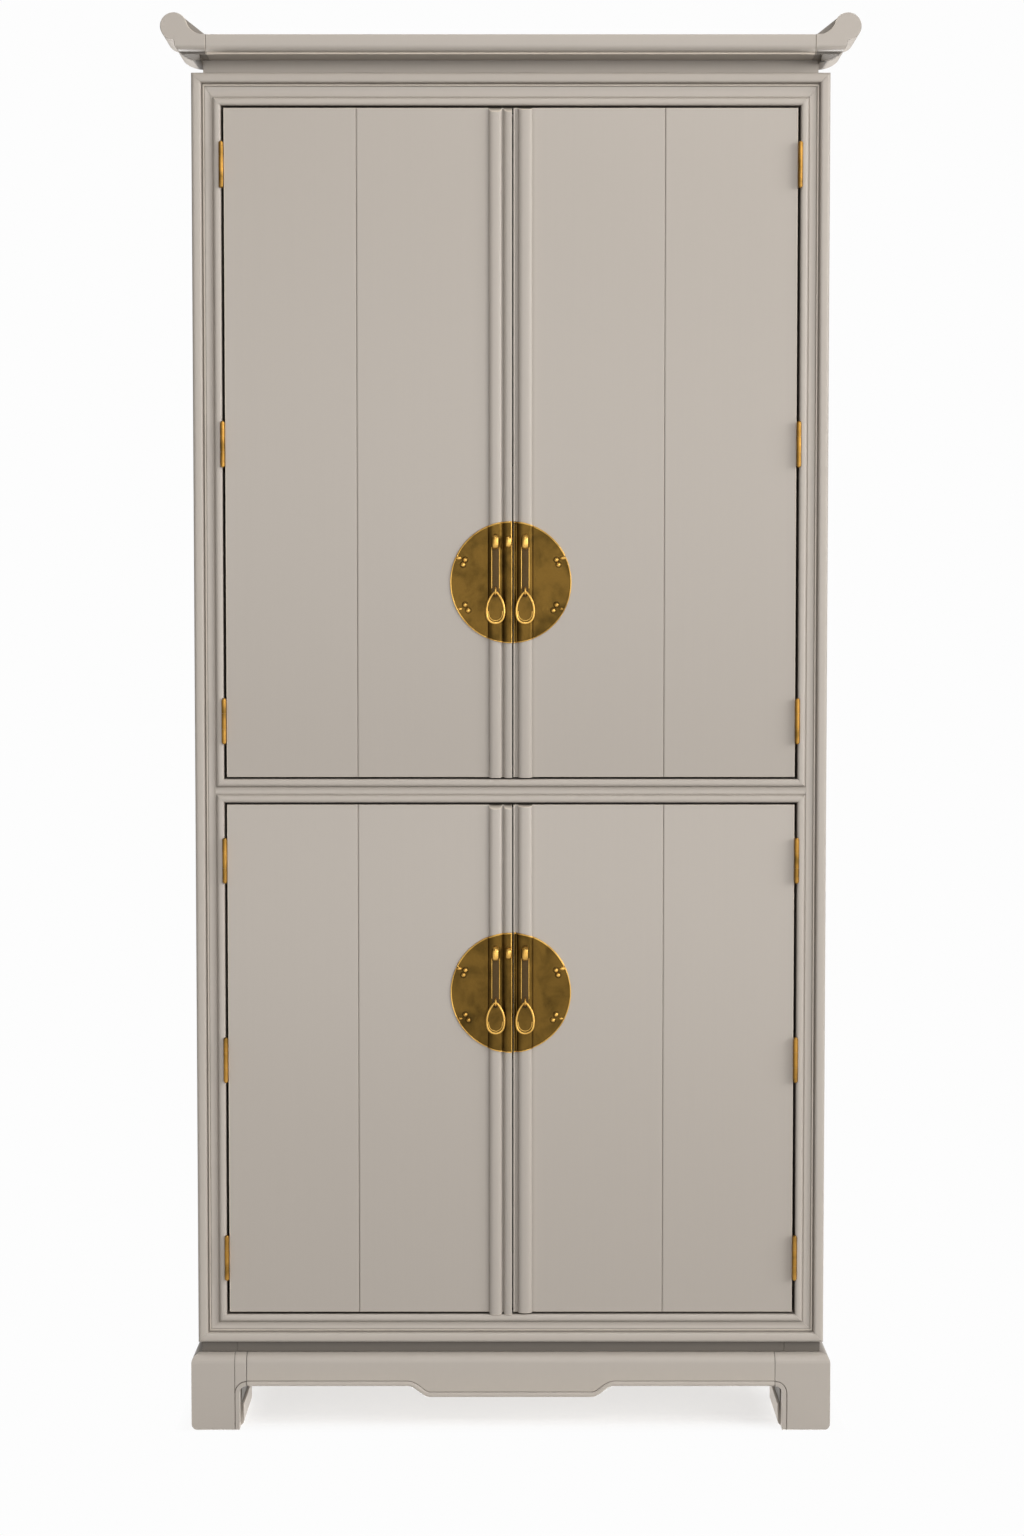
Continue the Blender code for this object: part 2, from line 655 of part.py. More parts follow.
def drop_pull(tier, side):
    """A flat tear with a round rim. The rim's top hangs inside the eye."""
    x, y, z = pull_axis(tier, side)
    top_radius = PULL_RIM + EYE_WIRE + PULL_SIDE_PLAY
    top = z - (EYE_RADIUS - EYE_WIRE - PULL_RIM - PULL_PLAY) - top_radius
    tear = tear_line(x, top, top_radius, z - PULL_LENGTH + PULL_RIM)
    hole = arc((x, top), (top_radius + top_radius - PULL_RIM) / 2, 0, 360 * (1 - 1 / BARREL_SIDES),
               BARREL_SIDES - 1)
    label = tier + "_" + side
    pull = slab("drop_pull_" + label, tear, "front", y - PULL_THICKNESS / 2, y + PULL_THICKNESS / 2,
                PULL_BRASS, hole)
    fuse(pull, wire("pull_rim_" + label, [(a, y, b) for a, b in tear], PULL_RIM, closed=True))
    return pull


# Hinges

def hinge_strip(low, high):
    """Plan of a leaf rolled round the pin: barrel and leaf in one outline."""
    start = math.degrees(math.acos(high / KNUCKLE_RADIUS))
    end = math.degrees(math.acos(low / KNUCKLE_RADIUS)) - 360
    tail = PIN_PROUD + LEAF_DEPTH
    return arc((0, 0), KNUCKLE_RADIUS, start, end, BARREL_SIDES) + [(low, tail), (high, tail)]


def hinge_meshes():
    """The frame half with its pin and the door half with its bore, about the pin's middle."""
    half = HINGE_LENGTH / 2
    barrel = (-KNUCKLE_RADIUS - CUT_MARGIN, KNUCKLE_RADIUS + CUT_MARGIN)
    clear = (barrel[0], KNUCKLE_RADIUS + LEAF_RELIEF)
    low = -(HINGE_GAP / 2 - PIN_SHIFT) + FIT
    frame_half = slab("hinge_frame_half", hinge_strip(low, low + LEAF_THICKNESS), "plan", -half, half)
    slot = (MIDDLE_KNUCKLE + KNUCKLE_GAP) / 2
    cut(frame_half, block("hinge_slot", barrel, clear, (-slot, slot)))
    top = half + PIN_TIP
    profile = [(0.0, top), (PIN_HEAD_RADIUS - PIN_HEAD_CHAMFER, top),
               (PIN_HEAD_RADIUS, top - PIN_HEAD_CHAMFER), (PIN_HEAD_RADIUS, half - PIN_TIP),
               (PIN_RADIUS, half - PIN_TIP)]
    fuse(frame_half, turned("hinge_pin", profile + [(r, -h) for r, h in reversed(profile)], BARREL_SIDES))
    high = HINGE_GAP / 2 + PIN_SHIFT - FIT
    bore = arc((0, 0), PIN_RADIUS + PIN_CLEARANCE, 0, 360 * (1 - 1 / BARREL_SIDES), BARREL_SIDES - 1)
    door_half = slab("hinge_door_half", hinge_strip(high - LEAF_THICKNESS, high), "plan", -half, half,
                     hole=bore)
    tongue = (MIDDLE_KNUCKLE - KNUCKLE_GAP) / 2
    for name, ends in (("hinge_end_top", (tongue, half + CUT_MARGIN)),
                       ("hinge_end_bottom", (-half - CUT_MARGIN, -tongue))):
        cut(door_half, block(name, barrel, clear, ends))
    return baked(frame_half), baked(door_half)


def hinges(tier, side, halves):
    """Three hinges for one door: near its ends and at its middle. Returns the door's halves."""
    bottom, top = DOOR_LEVELS[tier]
    levels = {"top": top - HINGE_INSET, "middle": (top + bottom) / 2, "bottom": bottom + HINGE_INSET}
    turning = []
    for name, level in levels.items():
        for role, mesh in zip(("frame", "door"), halves):
            label = "_".join(("hinge", tier, side, name, role))
            leaf = solid(label, mesh.copy(), HINGE_BRASS)
            leaf.location = (SIDES[side] * PIN_X, PIN_Y, level)
            leaf.rotation_euler = (0, math.pi if side == "right" else 0, 0)
            if role == "door":
                turning.append(leaf)
    return turning


def doors():
    """Four doors with their plates, pulls and hinges, each on an empty at its pin or eye."""
    halves = hinge_meshes()
    for tier, (bottom, top) in DOOR_LEVELS.items():
        for side in SIDES:
            label = tier + "_" + side
            door = slab("door_" + label, door_outline(side), "plan", bottom, top, DOOR_LACQUER)
            carried = [door, lock_plate(tier, side)] + hinges(tier, side, halves)
            axis = swinging("axis_door_" + label, (SIDES[side] * PIN_X, PIN_Y, bottom), carried)
            swinging("axis_pull_" + label, pull_axis(tier, side), [drop_pull(tier, side)], axis)


# Cornice

def scroll_outline():
    """Right-hand end of the cornice seen from the front: its joint, its outline with belly, notch,
    scroll and slope, and the hollow that is carved into the slope at the front."""
    centre = (CORNICE_TIP - SCROLL_RADIUS, CORNICE_TOP + SCROLL_RISE - SCROLL_RADIUS)
    notch = CORNICE_TIP - SCROLL_NOTCH_INSET
    drop = math.degrees(math.acos((notch - centre[0]) / SCROLL_RADIUS))
    hollow_level = CORNICE_TOP + SCROLL_HOLLOW
    spread = SCROLL_RADIUS + SCROLL_HOLLOW
    run = math.sqrt(spread ** 2 - (hollow_level - centre[1]) ** 2)
    lean = math.degrees(math.atan2(hollow_level - centre[1], -run))
    hollow = (centre[0] - run, hollow_level)
    joint = hollow[0] - CORNICE_LAND
    outline = [(joint + FIT / 2, CORNICE_TOP), (joint + FIT / 2, SOFFIT)]
    outline += arc((notch - SCROLL_BELLY, SOFFIT + SCROLL_BELLY), SCROLL_BELLY, -90, 0)
    outline += arc(centre, SCROLL_RADIUS, -drop, lean, 3 * ARC_STEPS)
    over = CORNICE_TOP + SCROLL_RISE
    carving = arc(hollow, SCROLL_HOLLOW, lean - 180, -90)
    carving += [(joint - CUT_MARGIN, CORNICE_TOP), (joint - CUT_MARGIN, over), (outline[-1][0], over)]
    return joint, outline, carving


def cornice():
    """A moulded board with an upturned scroll at each end, on a recessed neck board."""
    front = FACE - CORNICE_OVERHANG
    neck = HALF_WIDTH - NECK_INSET
    block("top_board", (-neck, neck), (FACE + NECK_FRONT_INSET, BACK), (CARCASS_TOP + FIT, SOFFIT - FIT),
          FRAME_LACQUER)
    joint, outline, carving = scroll_outline()
    spring = SOFFIT + CORNICE_FILLET + OVOLO_RADIUS
    ovolo = arc((front + OVOLO_RADIUS, spring), OVOLO_RADIUS, 180, 270)
    section = [(front, CORNICE_TOP)] + ovolo + [(front + OVOLO_RADIUS, SOFFIT), (BACK, SOFFIT),
                                                (BACK, CORNICE_TOP)]
    board = slab("cornice_board", section, "side", -neck, neck, FRAME_LACQUER)
    waste = [(front - CUT_MARGIN, spring)] + ovolo + [(front + OVOLO_RADIUS, SOFFIT - CUT_MARGIN),
                                                      (front - CUT_MARGIN, SOFFIT - CUT_MARGIN)]
    reach = CORNICE_TIP + CUT_MARGIN
    for side, sign in SIDES.items():
        end = slab("cornice_end_" + side, [(sign * x, z) for x, z in outline], "front", front,
                   front + SCROLL_DEPTH, FRAME_LACQUER)
        cut(end, slab("hollow_" + side, [(sign * x, z) for x, z in carving], "front", front - CUT_MARGIN,
                      front + SCROLL_CARVING))
        cut(end, slab("ovolo_" + side, waste, "side", -reach, reach))
        # The board is cut back to the joint in front, and is as wide as the neck behind the end
        corner = sorted((sign * (joint - FIT / 2), sign * (neck + CUT_MARGIN)))
        cut(board, block("notch_" + side, corner, (front - CUT_MARGIN, front + SCROLL_DEPTH + FIT),
                         (SOFFIT - CUT_MARGIN, CORNICE_TOP + CUT_MARGIN)))


# Base

def shoulder_line(depth):
    """Top of a base piece from its outer face inwards: a quarter round and a flat."""
    return arc((SHOULDER, BASE_TOP - SHOULDER), SHOULDER, 180, 90) + [(depth, BASE_TOP)]


def arch_line(face):
    """Inner edge of a foot and the round that turns it into the apron, upwards."""
    return [(face, -CUT_MARGIN)] + arc((face + ARCH_RADIUS, ARCH_SPRING), ARCH_RADIUS, 180, 90)


def groove_path(face):
    """Line of the groove that leaves a bead along a foot's inner edge and round the arch."""
    path = [(face - EDGE_BEAD, -CUT_MARGIN)]
    path += arc((face + ARCH_RADIUS, ARCH_SPRING), ARCH_RADIUS + EDGE_BEAD, 180, 90)
    return path + [(face + ARCH_RADIUS + CUT_MARGIN, APRON_EDGE + EDGE_BEAD)]


def foot_envelope(name, sign, place, outline, profile):
    """A foot's block: its outline from the front kept to its profile from the side."""
    depths = [place(depth) for depth, _ in profile]
    foot = slab(name, [(sign * (BASE_HALF - across), z) for across, z in outline], "front",
                min(depths) - CUT_MARGIN, max(depths) + CUT_MARGIN, BASE_LACQUER)
    reach = BASE_HALF + CUT_MARGIN
    keep(foot, slab(name + "_profile", list(zip(depths, [z for _, z in profile])), "side", -reach, reach))
    groove = [(sign * (BASE_HALF + GROOVE_LIFT), place(depth), z) for depth, z in side_groove(profile)]
    return cut(foot, wire(name + "_side_groove", groove, EDGE_GROOVE))


def side_groove(profile):
    """Groove path on a foot's outer side, which ends where its profile ends."""
    return groove_path(max(depth for depth, _ in profile) - ARCH_RADIUS)


def front_foot(side, sign):
    """A front foot: a face with a beaded inner edge, and a deep block with a toe behind it."""
    outline = arc((FOOT_CORNER, FOOT_CORNER), FOOT_CORNER, 270, 180) + shoulder_line(FOOT_JOINT)
    outline += [(FOOT_JOINT, 0.0)]
    profile = arc((FOOT_EDGE, FOOT_EDGE), FOOT_EDGE, 270, 180) + shoulder_line(FOOT_DEPTH + ARCH_RADIUS)
    profile += arch_line(FOOT_DEPTH)[:0:-1] + [(FOOT_DEPTH, 0.0)]
    name = "foot_front_" + side
    foot = foot_envelope(name, sign, lambda depth: BASE_FRONT + depth, outline, profile)
    outside = FOOT_JOINT + CUT_MARGIN
    arch = arch_line(FOOT_FACE) + [(outside, APRON_EDGE), (outside, -CUT_MARGIN)]
    cut(foot, slab(name + "_arch", [(sign * (BASE_HALF - across), z) for across, z in arch], "front",
                   BASE_FRONT - CUT_MARGIN, BASE_FRONT + APRON_THICKNESS + TOE_SETBACK))
    toe = FOOT_FACE + TOE_PROUD
    inner = [(toe - TOE_ROUND, -CUT_MARGIN)] + arc((toe - TOE_ROUND, TOE_ROUND), TOE_ROUND, 270, 360)
    inner += [(toe, TOE_HEIGHT), (toe - TOE_STEP, TOE_HEIGHT + TOE_STEP)]
    inner += [(toe - TOE_STEP, BASE_HEIGHT + CUT_MARGIN), (outside, BASE_HEIGHT + CUT_MARGIN),
              (outside, -CUT_MARGIN)]
    cut(foot, slab(name + "_inside", [(sign * (BASE_HALF - across), z) for across, z in inner], "front",
                   BASE_FRONT + APRON_THICKNESS, BASE_FRONT + FOOT_DEPTH + ARCH_RADIUS + CUT_MARGIN))
    groove = [(sign * (BASE_HALF - across), BASE_FRONT - GROOVE_LIFT, z)
              for across, z in groove_path(FOOT_FACE)]
    cut(foot, wire(name + "_front_groove", groove, EDGE_GROOVE))


def rear_foot(side, sign):
    """A rear foot: the same side face, with a plain back against the wall."""
    outline = arc((FOOT_CORNER, FOOT_CORNER), FOOT_CORNER, 270, 180) + shoulder_line(FOOT_FACE)
    outline += [(FOOT_FACE, 0.0)]
    profile = [(0.0, 0.0), (0.0, BASE_TOP), (REAR_FOOT_DEPTH + ARCH_RADIUS, BASE_TOP)]
    profile += arch_line(REAR_FOOT_DEPTH)[:0:-1] + [(REAR_FOOT_DEPTH, 0.0)]
    foot_envelope("foot_rear_" + side, sign, lambda depth: BACK - depth, outline, profile)


def apron_edge_line(reach):
    """Lower edge of the front apron from left to right, with its drop in the middle."""
    curve = []
    for step in range(2 * ARC_STEPS + 1):
        share = step / (2 * ARC_STEPS)
        curve.append((-APRON_DROP_HALF - APRON_CURVE * (1 - share),
                      APRON_EDGE - APRON_DROP * (1 - math.cos(math.pi * share)) / 2))
    half = [(-reach, APRON_EDGE)] + curve
    return half + [(-x, z) for x, z in reversed(half)]


def base():
    """Four feet and three aprons under a recessed waist board."""
    for side, sign in SIDES.items():
        front_foot(side, sign)
        rear_foot(side, sign)
        section = shoulder_line(APRON_THICKNESS) + [(APRON_THICKNESS, APRON_EDGE), (0.0, APRON_EDGE)]
        bead_top = APRON_EDGE + EDGE_BEAD
        section += [(0.0, bead_top - EDGE_GROOVE), (EDGE_GROOVE, bead_top), (0.0, bead_top + EDGE_GROOVE)]
        slab("apron_" + side, [(sign * (BASE_HALF - across), z) for across, z in section], "front",
             BASE_FRONT + FOOT_DEPTH + ARCH_RADIUS + FIT, BACK - REAR_FOOT_DEPTH - ARCH_RADIUS - FIT,
             BASE_LACQUER)
    joint = BASE_HALF - FOOT_JOINT
    apron = block("apron_front", (FIT - joint, joint - FIT),
                  (BASE_FRONT - CUT_MARGIN, BASE_FRONT + APRON_THICKNESS),
                  (APRON_EDGE - APRON_DROP - CUT_MARGIN, BASE_HEIGHT + CUT_MARGIN), BASE_LACQUER)
    lower = apron_edge_line(joint + CUT_MARGIN)
    below = [(lower[-1][0], -CUT_MARGIN), (lower[0][0], -CUT_MARGIN)]
    cut(apron, slab("apron_drop", lower + below, "front", BASE_FRONT - 2 * CUT_MARGIN,
                    BASE_FRONT + APRON_THICKNESS + CUT_MARGIN))
    outside = APRON_THICKNESS + CUT_MARGIN
    section = [(0.0, -CUT_MARGIN)] + shoulder_line(outside) + [(outside, -CUT_MARGIN)]
    keep(apron, slab("apron_shoulder", [(BASE_FRONT + depth, z) for depth, z in section], "side",
                     -BASE_HALF, BASE_HALF))
    groove = offset_line(lower, EDGE_BEAD)
    cut(apron, wire("apron_groove", [(x, BASE_FRONT - GROOVE_LIFT, z) for x, z in groove], EDGE_GROOVE))
    waist = HALF_WIDTH - WAIST_INSET
    block("base_waist", (-waist, waist), (FACE + WAIST_INSET, BACK), (BASE_HEIGHT, CARCASS_BOTTOM - FIT),
          BASE_LACQUER)


carcass()
face_frame()
doors()
cornice()
base()
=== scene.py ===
"""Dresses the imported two-tier cabinet: lacquer on mouldings and doors, brass fittings, stage and camera.

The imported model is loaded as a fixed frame. Every piece here rides on one of its bodies, and takes its
place and its main sizes from the frame's nodes. Metres, +Z up, the doors face -Y.
"""

import json
import math

import bmesh
import bpy
import numpy as np
from bpy.props import FloatProperty, FloatVectorProperty, PointerProperty
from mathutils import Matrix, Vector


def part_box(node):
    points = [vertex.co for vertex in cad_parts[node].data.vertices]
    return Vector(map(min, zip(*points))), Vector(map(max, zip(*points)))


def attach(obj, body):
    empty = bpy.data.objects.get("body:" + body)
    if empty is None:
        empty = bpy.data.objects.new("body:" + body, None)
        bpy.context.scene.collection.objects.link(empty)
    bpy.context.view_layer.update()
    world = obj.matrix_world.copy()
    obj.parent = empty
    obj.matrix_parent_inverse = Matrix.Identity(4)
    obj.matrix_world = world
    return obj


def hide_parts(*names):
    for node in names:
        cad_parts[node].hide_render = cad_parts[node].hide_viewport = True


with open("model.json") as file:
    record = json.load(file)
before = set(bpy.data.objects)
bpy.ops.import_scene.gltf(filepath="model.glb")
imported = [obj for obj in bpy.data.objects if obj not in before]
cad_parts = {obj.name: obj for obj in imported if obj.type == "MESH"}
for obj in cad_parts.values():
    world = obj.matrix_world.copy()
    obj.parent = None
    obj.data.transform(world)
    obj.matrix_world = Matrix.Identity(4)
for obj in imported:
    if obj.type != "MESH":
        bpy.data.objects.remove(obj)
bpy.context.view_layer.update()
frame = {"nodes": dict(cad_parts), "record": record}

bl_info = {
    "name": "Two-tier cabinet dressing",
    "version": (1, 0, 0),
    "blender": (4, 5, 0),
    "location": "View3D > Sidebar > Cabinet",
    "description": "Lacquer, brass fittings and a plain stage for the packed two-tier cabinet",
    "category": "Object",
}

SIDES = {"left": -1, "right": 1}
TIERS = ("upper", "lower")
FIT = 0.0003
HALF_GAP = FIT / 2
WELD = 2e-6

# Levels and places that the frame's nodes give
STOP_LIP = 0.008
STOP_ROOT = 0.006
DOOR_THICKNESS = 0.022
HALF_OPENING, HALF_WIDTH = (corner.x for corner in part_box("stile_right"))
FRAME_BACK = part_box("stile_right")[1].y
RAIL_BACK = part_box("rail_top")[1].y
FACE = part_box("door_upper_left")[1].y - DOOR_THICKNESS
CARCASS_BOTTOM, CARCASS_TOP = (corner.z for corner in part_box("side_left"))
LOWER_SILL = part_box("rail_bottom")[1].z - STOP_LIP
LOWER_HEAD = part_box("rail_mid")[0].z + STOP_LIP
UPPER_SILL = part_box("rail_mid")[1].z - STOP_LIP
UPPER_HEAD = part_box("rail_top")[0].z + STOP_LIP
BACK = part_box("back_panel")[1].y

# Face frame mouldings
OUTER_BEAD = 0.0140
OUTER_PROUD = 0.0060
OUTER_FULLNESS = 0.62
QUIRK = 0.0020
QUIRK_DEPTH = 0.0012
FILLET = 0.0030
FILLET_PROUD = 0.0015
INNER_BEAD = 0.0105
INNER_PROUD = 0.0045
INNER_FULLNESS = 0.8
DIP = 0.0020
DIP_DEPTH = 0.0008
OUTER_ZONE = OUTER_BEAD + QUIRK + FILLET
INNER_ZONE = INNER_BEAD + DIP
STILE_WIDTH = HALF_WIDTH - HALF_OPENING
FLAT_HOLLOW = 0.0008
MID_RAIL_HOLLOW = 0.0006

# Door mouldings, counted from the meeting edge: place, half width and rise of each round
ROUNDS = {"left": ((0.0030, 0.0090, 0.0064), (0.0233, 0.0093, 0.0065)),
          "right": ((0.0, 0.0022, 0.0022), (0.0164, 0.0101, 0.0065))}
ROUND_POWER = 2.5
BEAD_PLACE = {side: rounds[-1][0] for side, rounds in ROUNDS.items()}
MEETING = {"left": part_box("door_upper_left")[1].x, "right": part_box("door_upper_right")[0].x}
MEETING_BEVEL = 0.0020
GROOVE = 0.0016
GROOVE_DEPTH = 0.0012
GROOVE_LIP = 0.0003
# How far the ends of a door's mouldings lean at the top and reach down at the bottom, per unit of height
TOP_LEAN = {"left": 0.90, "right": 0.45}
BOTTOM_LEAN = {("upper", "left"): 0.20, ("upper", "right"): 0.20,
               ("lower", "left"): 0.60, ("lower", "right"): 0.15}
# The soft arris at those ends: where it starts and ends, how far it drops, and the ground's step behind it
ARRIS_START = 0.0004
ARRIS_END = 0.0016
ARRIS_DROP = 0.0003
GROUND_STEP = 0.0008
# Meeting edge: how far its rubbed arris and the painted shade at the rounds' feet reach, and the ends of its
# wall's painted shadow
MEETING_RUB = 0.0012
MEETING_SHADE = 0.0012
WALL_FOOT = 0.0010
WALL_HEAD = 0.0006

# Lock plates
PLATE_RADIUS = 0.085
PLATE_THICKNESS = 0.0012
PLATE_EDGE = 0.0003
PLATE_LEVEL = {tier: sum(corner.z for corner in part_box("lock_plate_%s_left" % tier)) / 2 for tier in TIERS}
CURL_TURN = 25.0
CURL_SPAN = 2.5
CURL_DRAW = 0.003
STAPLE_RISE = 0.0565
STAPLE_STAND = 0.0030
STAPLE_WIRE = 0.0022
STAPLE_FULLNESS = 0.6
STAPLE_RADIUS = 0.0080
STAPLE_WIDTH = 0.0082
SMALL_STAPLE_RADIUS = 0.0060
SMALL_STAPLE_WIDTH = 0.0072
SMALL_STAPLE_PLACE = 0.0050
# A dark patch under each staple, which stands for its shadow
STAPLE_SHADOW = (0.0058, 0.0010, 0.0115)
STUD_CIRCLE = 0.0715
STUD_TURNS = (26.3, 20.3, -26.1, -33.3)
WASHER_RISE = 0.0006
BULB_CIRCLE = 0.0805
BULB_RADII = np.array([0.0040, 0.0026, 0.0026])
BULB_SIZES = ((CURL_TURN, 1.0), (-27.5, 0.7))
TRIM_SINK = 0.0002
FINE_WIRE = 0.0006
FINE_WIRE_LIFT = 0.0002
STRAP_LIFT = 0.0005
STRAP_THICKNESS = 0.0008
# Below the wires the strap runs on as a dark sheet behind the pull's hole, which stands for the shadow seen
# through it
HOLE_SHADOW_TAIL = 0.0130

# Drop pulls and the eyes that they hang on
EYE_DROP = 0.0125
EYE_RADIUS = 0.0047
EYE_WIRE = 0.0013
PULL_RIM = 0.0017
PULL_HALF = 0.014
PULL_LENGTH = 0.0462
PULL_BELLY = 0.0187
PULL_HOLE = 0.0028
PULL_HOLE_DROP = 0.0010
PULL_SIDE_PLAY = 0.0005
PULL_STANDOFF = 0.0013
PULL_TOP = PULL_RIM + EYE_WIRE + PULL_SIDE_PLAY
PULL_FIELD = 0.0013
PULL_DISH = 0.0006
PULL_WIRE_INSET = 0.80
PULL_WIRE_LIFT = 0.0008
EYE_STAND = PULL_RIM + PULL_STANDOFF
STRAP_ENDS = np.array([STAPLE_RISE - 0.0075, 0.0040 - EYE_DROP])

# Cornice
BOARD_LOW, BOARD_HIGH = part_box("cornice_board")
CORNICE_TOP, SOFFIT = BOARD_HIGH.z, BOARD_LOW.z
CORNICE_FRONT, CORNICE_HALF = BOARD_LOW.y, BOARD_HIGH.x
SCROLL_LOW, SCROLL_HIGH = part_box("cornice_end_right")
SCROLL_JOINT, SCROLL_TIP = SCROLL_LOW.x, SCROLL_HIGH.x
SCROLL_BACK, SCROLL_TOP = SCROLL_HIGH.y, SCROLL_HIGH.z
CORNICE_JOINT = SCROLL_JOINT - FIT
CORNICE_NOTCH = SCROLL_BACK + FIT
SCROLL_RADIUS = 0.0186
SCROLL_HOLLOW = 0.0234
SCROLL_NOTCH = 0.0193
SCROLL_BELLY = 0.0148
SCROLL_CARVING = 0.010
SCROLL_HANG = 0.006
SCROLL_LEAN = 2.5
SCROLL_ARRIS = 0.0008
SCROLL_STEP = 0.0004
SCROLL_OVERLAP = 0.002
OVOLO = 0.0096
CORNICE_FILLET = 0.0025
OVOLO_SPRING = SOFFIT + CORNICE_FILLET + OVOLO

# Base
APRON_LOW, APRON_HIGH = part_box("apron_front")
BASE_FRONT, BASE_TOP = APRON_LOW.y, APRON_HIGH.z
APRON_JOINT, APRON_BACK = APRON_HIGH.x, APRON_HIGH.y
APRON_EDGE = 0.0635
APRON_DROP = 0.0158
APRON_DROP_HALF = 0.1154
APRON_CURVE = 0.032
APRON_RUN = 0.02
EDGE_BEAD = 0.0066
EDGE_BEAD_PROUD = 0.0008
EDGE_BEAD_SINK = 0.0006
EDGE_ARRIS = 0.0012
EDGE_GROOVE = 0.0014
EDGE_GROOVE_DEPTH = 0.0010
SHOULDER = 0.0133
ARCH_RADIUS = 0.0102
ARCH_SPRING = APRON_EDGE - ARCH_RADIUS
FOOT_FACE = 0.0683
FOOT_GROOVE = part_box("foot_front_right")[1].x - FOOT_FACE + EDGE_BEAD
TOE_HEIGHT = 0.031
WAIST_SEAM = 0.390

# Drawn lines: how far they fade out beside their middle, how deep they look, how far back they reach
SEAM_REACH = 0.0007
GROOVE_REACH = 0.0008
# How dark the painted shade in the groove beside a front foot's bead is
GROOVE_STRENGTH = 0.8
SEAM_DEPTH = 0.0006
SEAM_ZONE = 0.030
GROOVE_ZONE = 0.001

# Painted shade on whole faces: between the front feet, on the recessed waist, and on the neck under the
# cornice
ARCH_SHADE = 0.9
WAIST_SHADE = 0.77
NECK_SHADE = (0.05, 0.40)

# Stage: soft boxes with spot, aim, width, height and watts
SOFT_BOXES = {
    "key": ((6.7, -4.0, 2.8), (0.0, -0.2, 0.8), 5.0, 4.0, 435.0),
    "fill": ((0.5, -8.2, 1.8), (0.0, -0.2, 0.7), 8.0, 4.4, 276.0),
    "top": ((0.9, -7.7, 6.2), (0.0, -0.2, 1.2), 1.2, 0.9, 88.0),
    "overhead": ((0.2, -3.6, 6.4), (0.0, -0.3, 1.0), 1.0, 1.0, 42.0),
    "ceiling": ((0.0, 0.5, 7.0), (0.0, 0.0, 0.0), 2.4, 2.4, 100.0),
    # Two under the floor, which throws no shadow, stand for the light that a pale floor sends up
    "bounce_left": ((-3.0, 2.5, -6.0), (-0.45, -0.2, 1.9), 2.0, 2.0, 720.0),
    "bounce_right": ((3.0, 2.5, -6.0), (0.45, -0.2, 1.9), 2.0, 2.0, 720.0),
}
WORLD_STRENGTH = 0.15
FLOOR_GLOW = 0.625
FLOOR_MATT = 0.38
FOOTPRINT_EDGE = (0.80, 1.08)
# Camera: focal length, frame height and sideways turn in pixels of the frame, and degrees of tilt
SENSOR = 36.0
FOCAL_PIXELS = 2900
FRAME_PIXELS = 1536
CAMERA_TILT = 3.17
CAMERA_TURN = 1.2


def linear(code):
    """An sRGB hex colour as linear red, green and blue."""
    srgb = np.array([int(code[place:place + 2], 16) for place in (1, 3, 5)]) / 255
    return tuple(np.where(srgb <= 0.04045, srgb / 12.92, ((srgb + 0.055) / 1.055) ** 2.4).tolist())


def length_property(name, description, default):
    """A length that a user may change."""
    return FloatProperty(name=name, description=description, default=default, unit="LENGTH", precision=5)


def colour_property(name, description, code):
    """A colour that a user may change."""
    return FloatVectorProperty(name=name, description=description, default=linear(code), subtype="COLOR",
                               min=0.0, max=1.0)


class CabinetSizes(bpy.types.PropertyGroup):
    """Sizes of the dressing that the frame doesn't fix."""
    rim: length_property("Plate rim", "Radius of the rolled rim round a lock plate", 0.0012)
    stud: length_property("Stud", "Radius of a dome stud on a lock plate", 0.0033)
    strap: length_property("Strap", "Width of the dark strap between staple and eye", 0.0095)
    softness: length_property("Edge softness", "Radius worn onto the edges of plain boards", 0.0008)
    floor: length_property("Floor", "Width of the floor", 60.0)
    camera_distance: length_property("Camera distance", "From the camera to the face frame, level", 4.084)
    camera_height: length_property("Camera height", "Height of the camera over the floor", 1.1707)


class CabinetColours(bpy.types.PropertyGroup):
    """Colours of the finishes and the stage."""
    lacquer: colour_property("Lacquer", "Warm grey lacquer", "#B6ADA3")
    # Colour of the painted shade in recesses, gaps and under overhangs, and of the dark seams
    painted_shade_and_seams: colour_property("Dust", "Dark wax and dust in the recesses", "#30281C")
    bare: colour_property("Rubbed edges", "Rubbed primer that shows at worn edges", "#D6CABA")
    inside: colour_property("Inside", "Matt lacquer inside the cabinet", "#A0978B")
    brass_field: colour_property("Brass field", "Golden brown patina on the plates", "#624A20")
    brass_rubbed: colour_property("Rubbed brass", "Brass rubbed bright", "#DDB05C")
    brass_worn: colour_property("Worn brass", "Brass between the rubbed places", "#A57B3A")
    brass_dark: colour_property("Dark brass", "Browned brass", "#3E2F13")
    strap: colour_property("Strap", "Blackened straps", "#4C3C26")
    floor: colour_property("Floor", "Pale studio floor", "#FDFDFD")


# Meshes from arrays

def grid_points(x, y, z):
    """Points from three coordinates that are spread over one grid."""
    return np.stack(np.broadcast_arrays(x, y, z), -1)


def grid_quads(rows, columns, wrap_rows=False, wrap_columns=False):
    """Quads of a grid stored row by row: corners (i, j), (i, j+1), (i+1, j+1) and (i+1, j)."""
    i = np.arange(rows if wrap_rows else rows - 1)[:, None]
    j = np.arange(columns if wrap_columns else columns - 1)[None, :]
    after_i, after_j = (i + 1) % rows, (j + 1) % columns
    corners = (i * columns + j, i * columns + after_j, after_i * columns + after_j, after_i * columns + j)
    return np.stack(np.broadcast_arrays(*corners), -1).reshape(-1, 4)


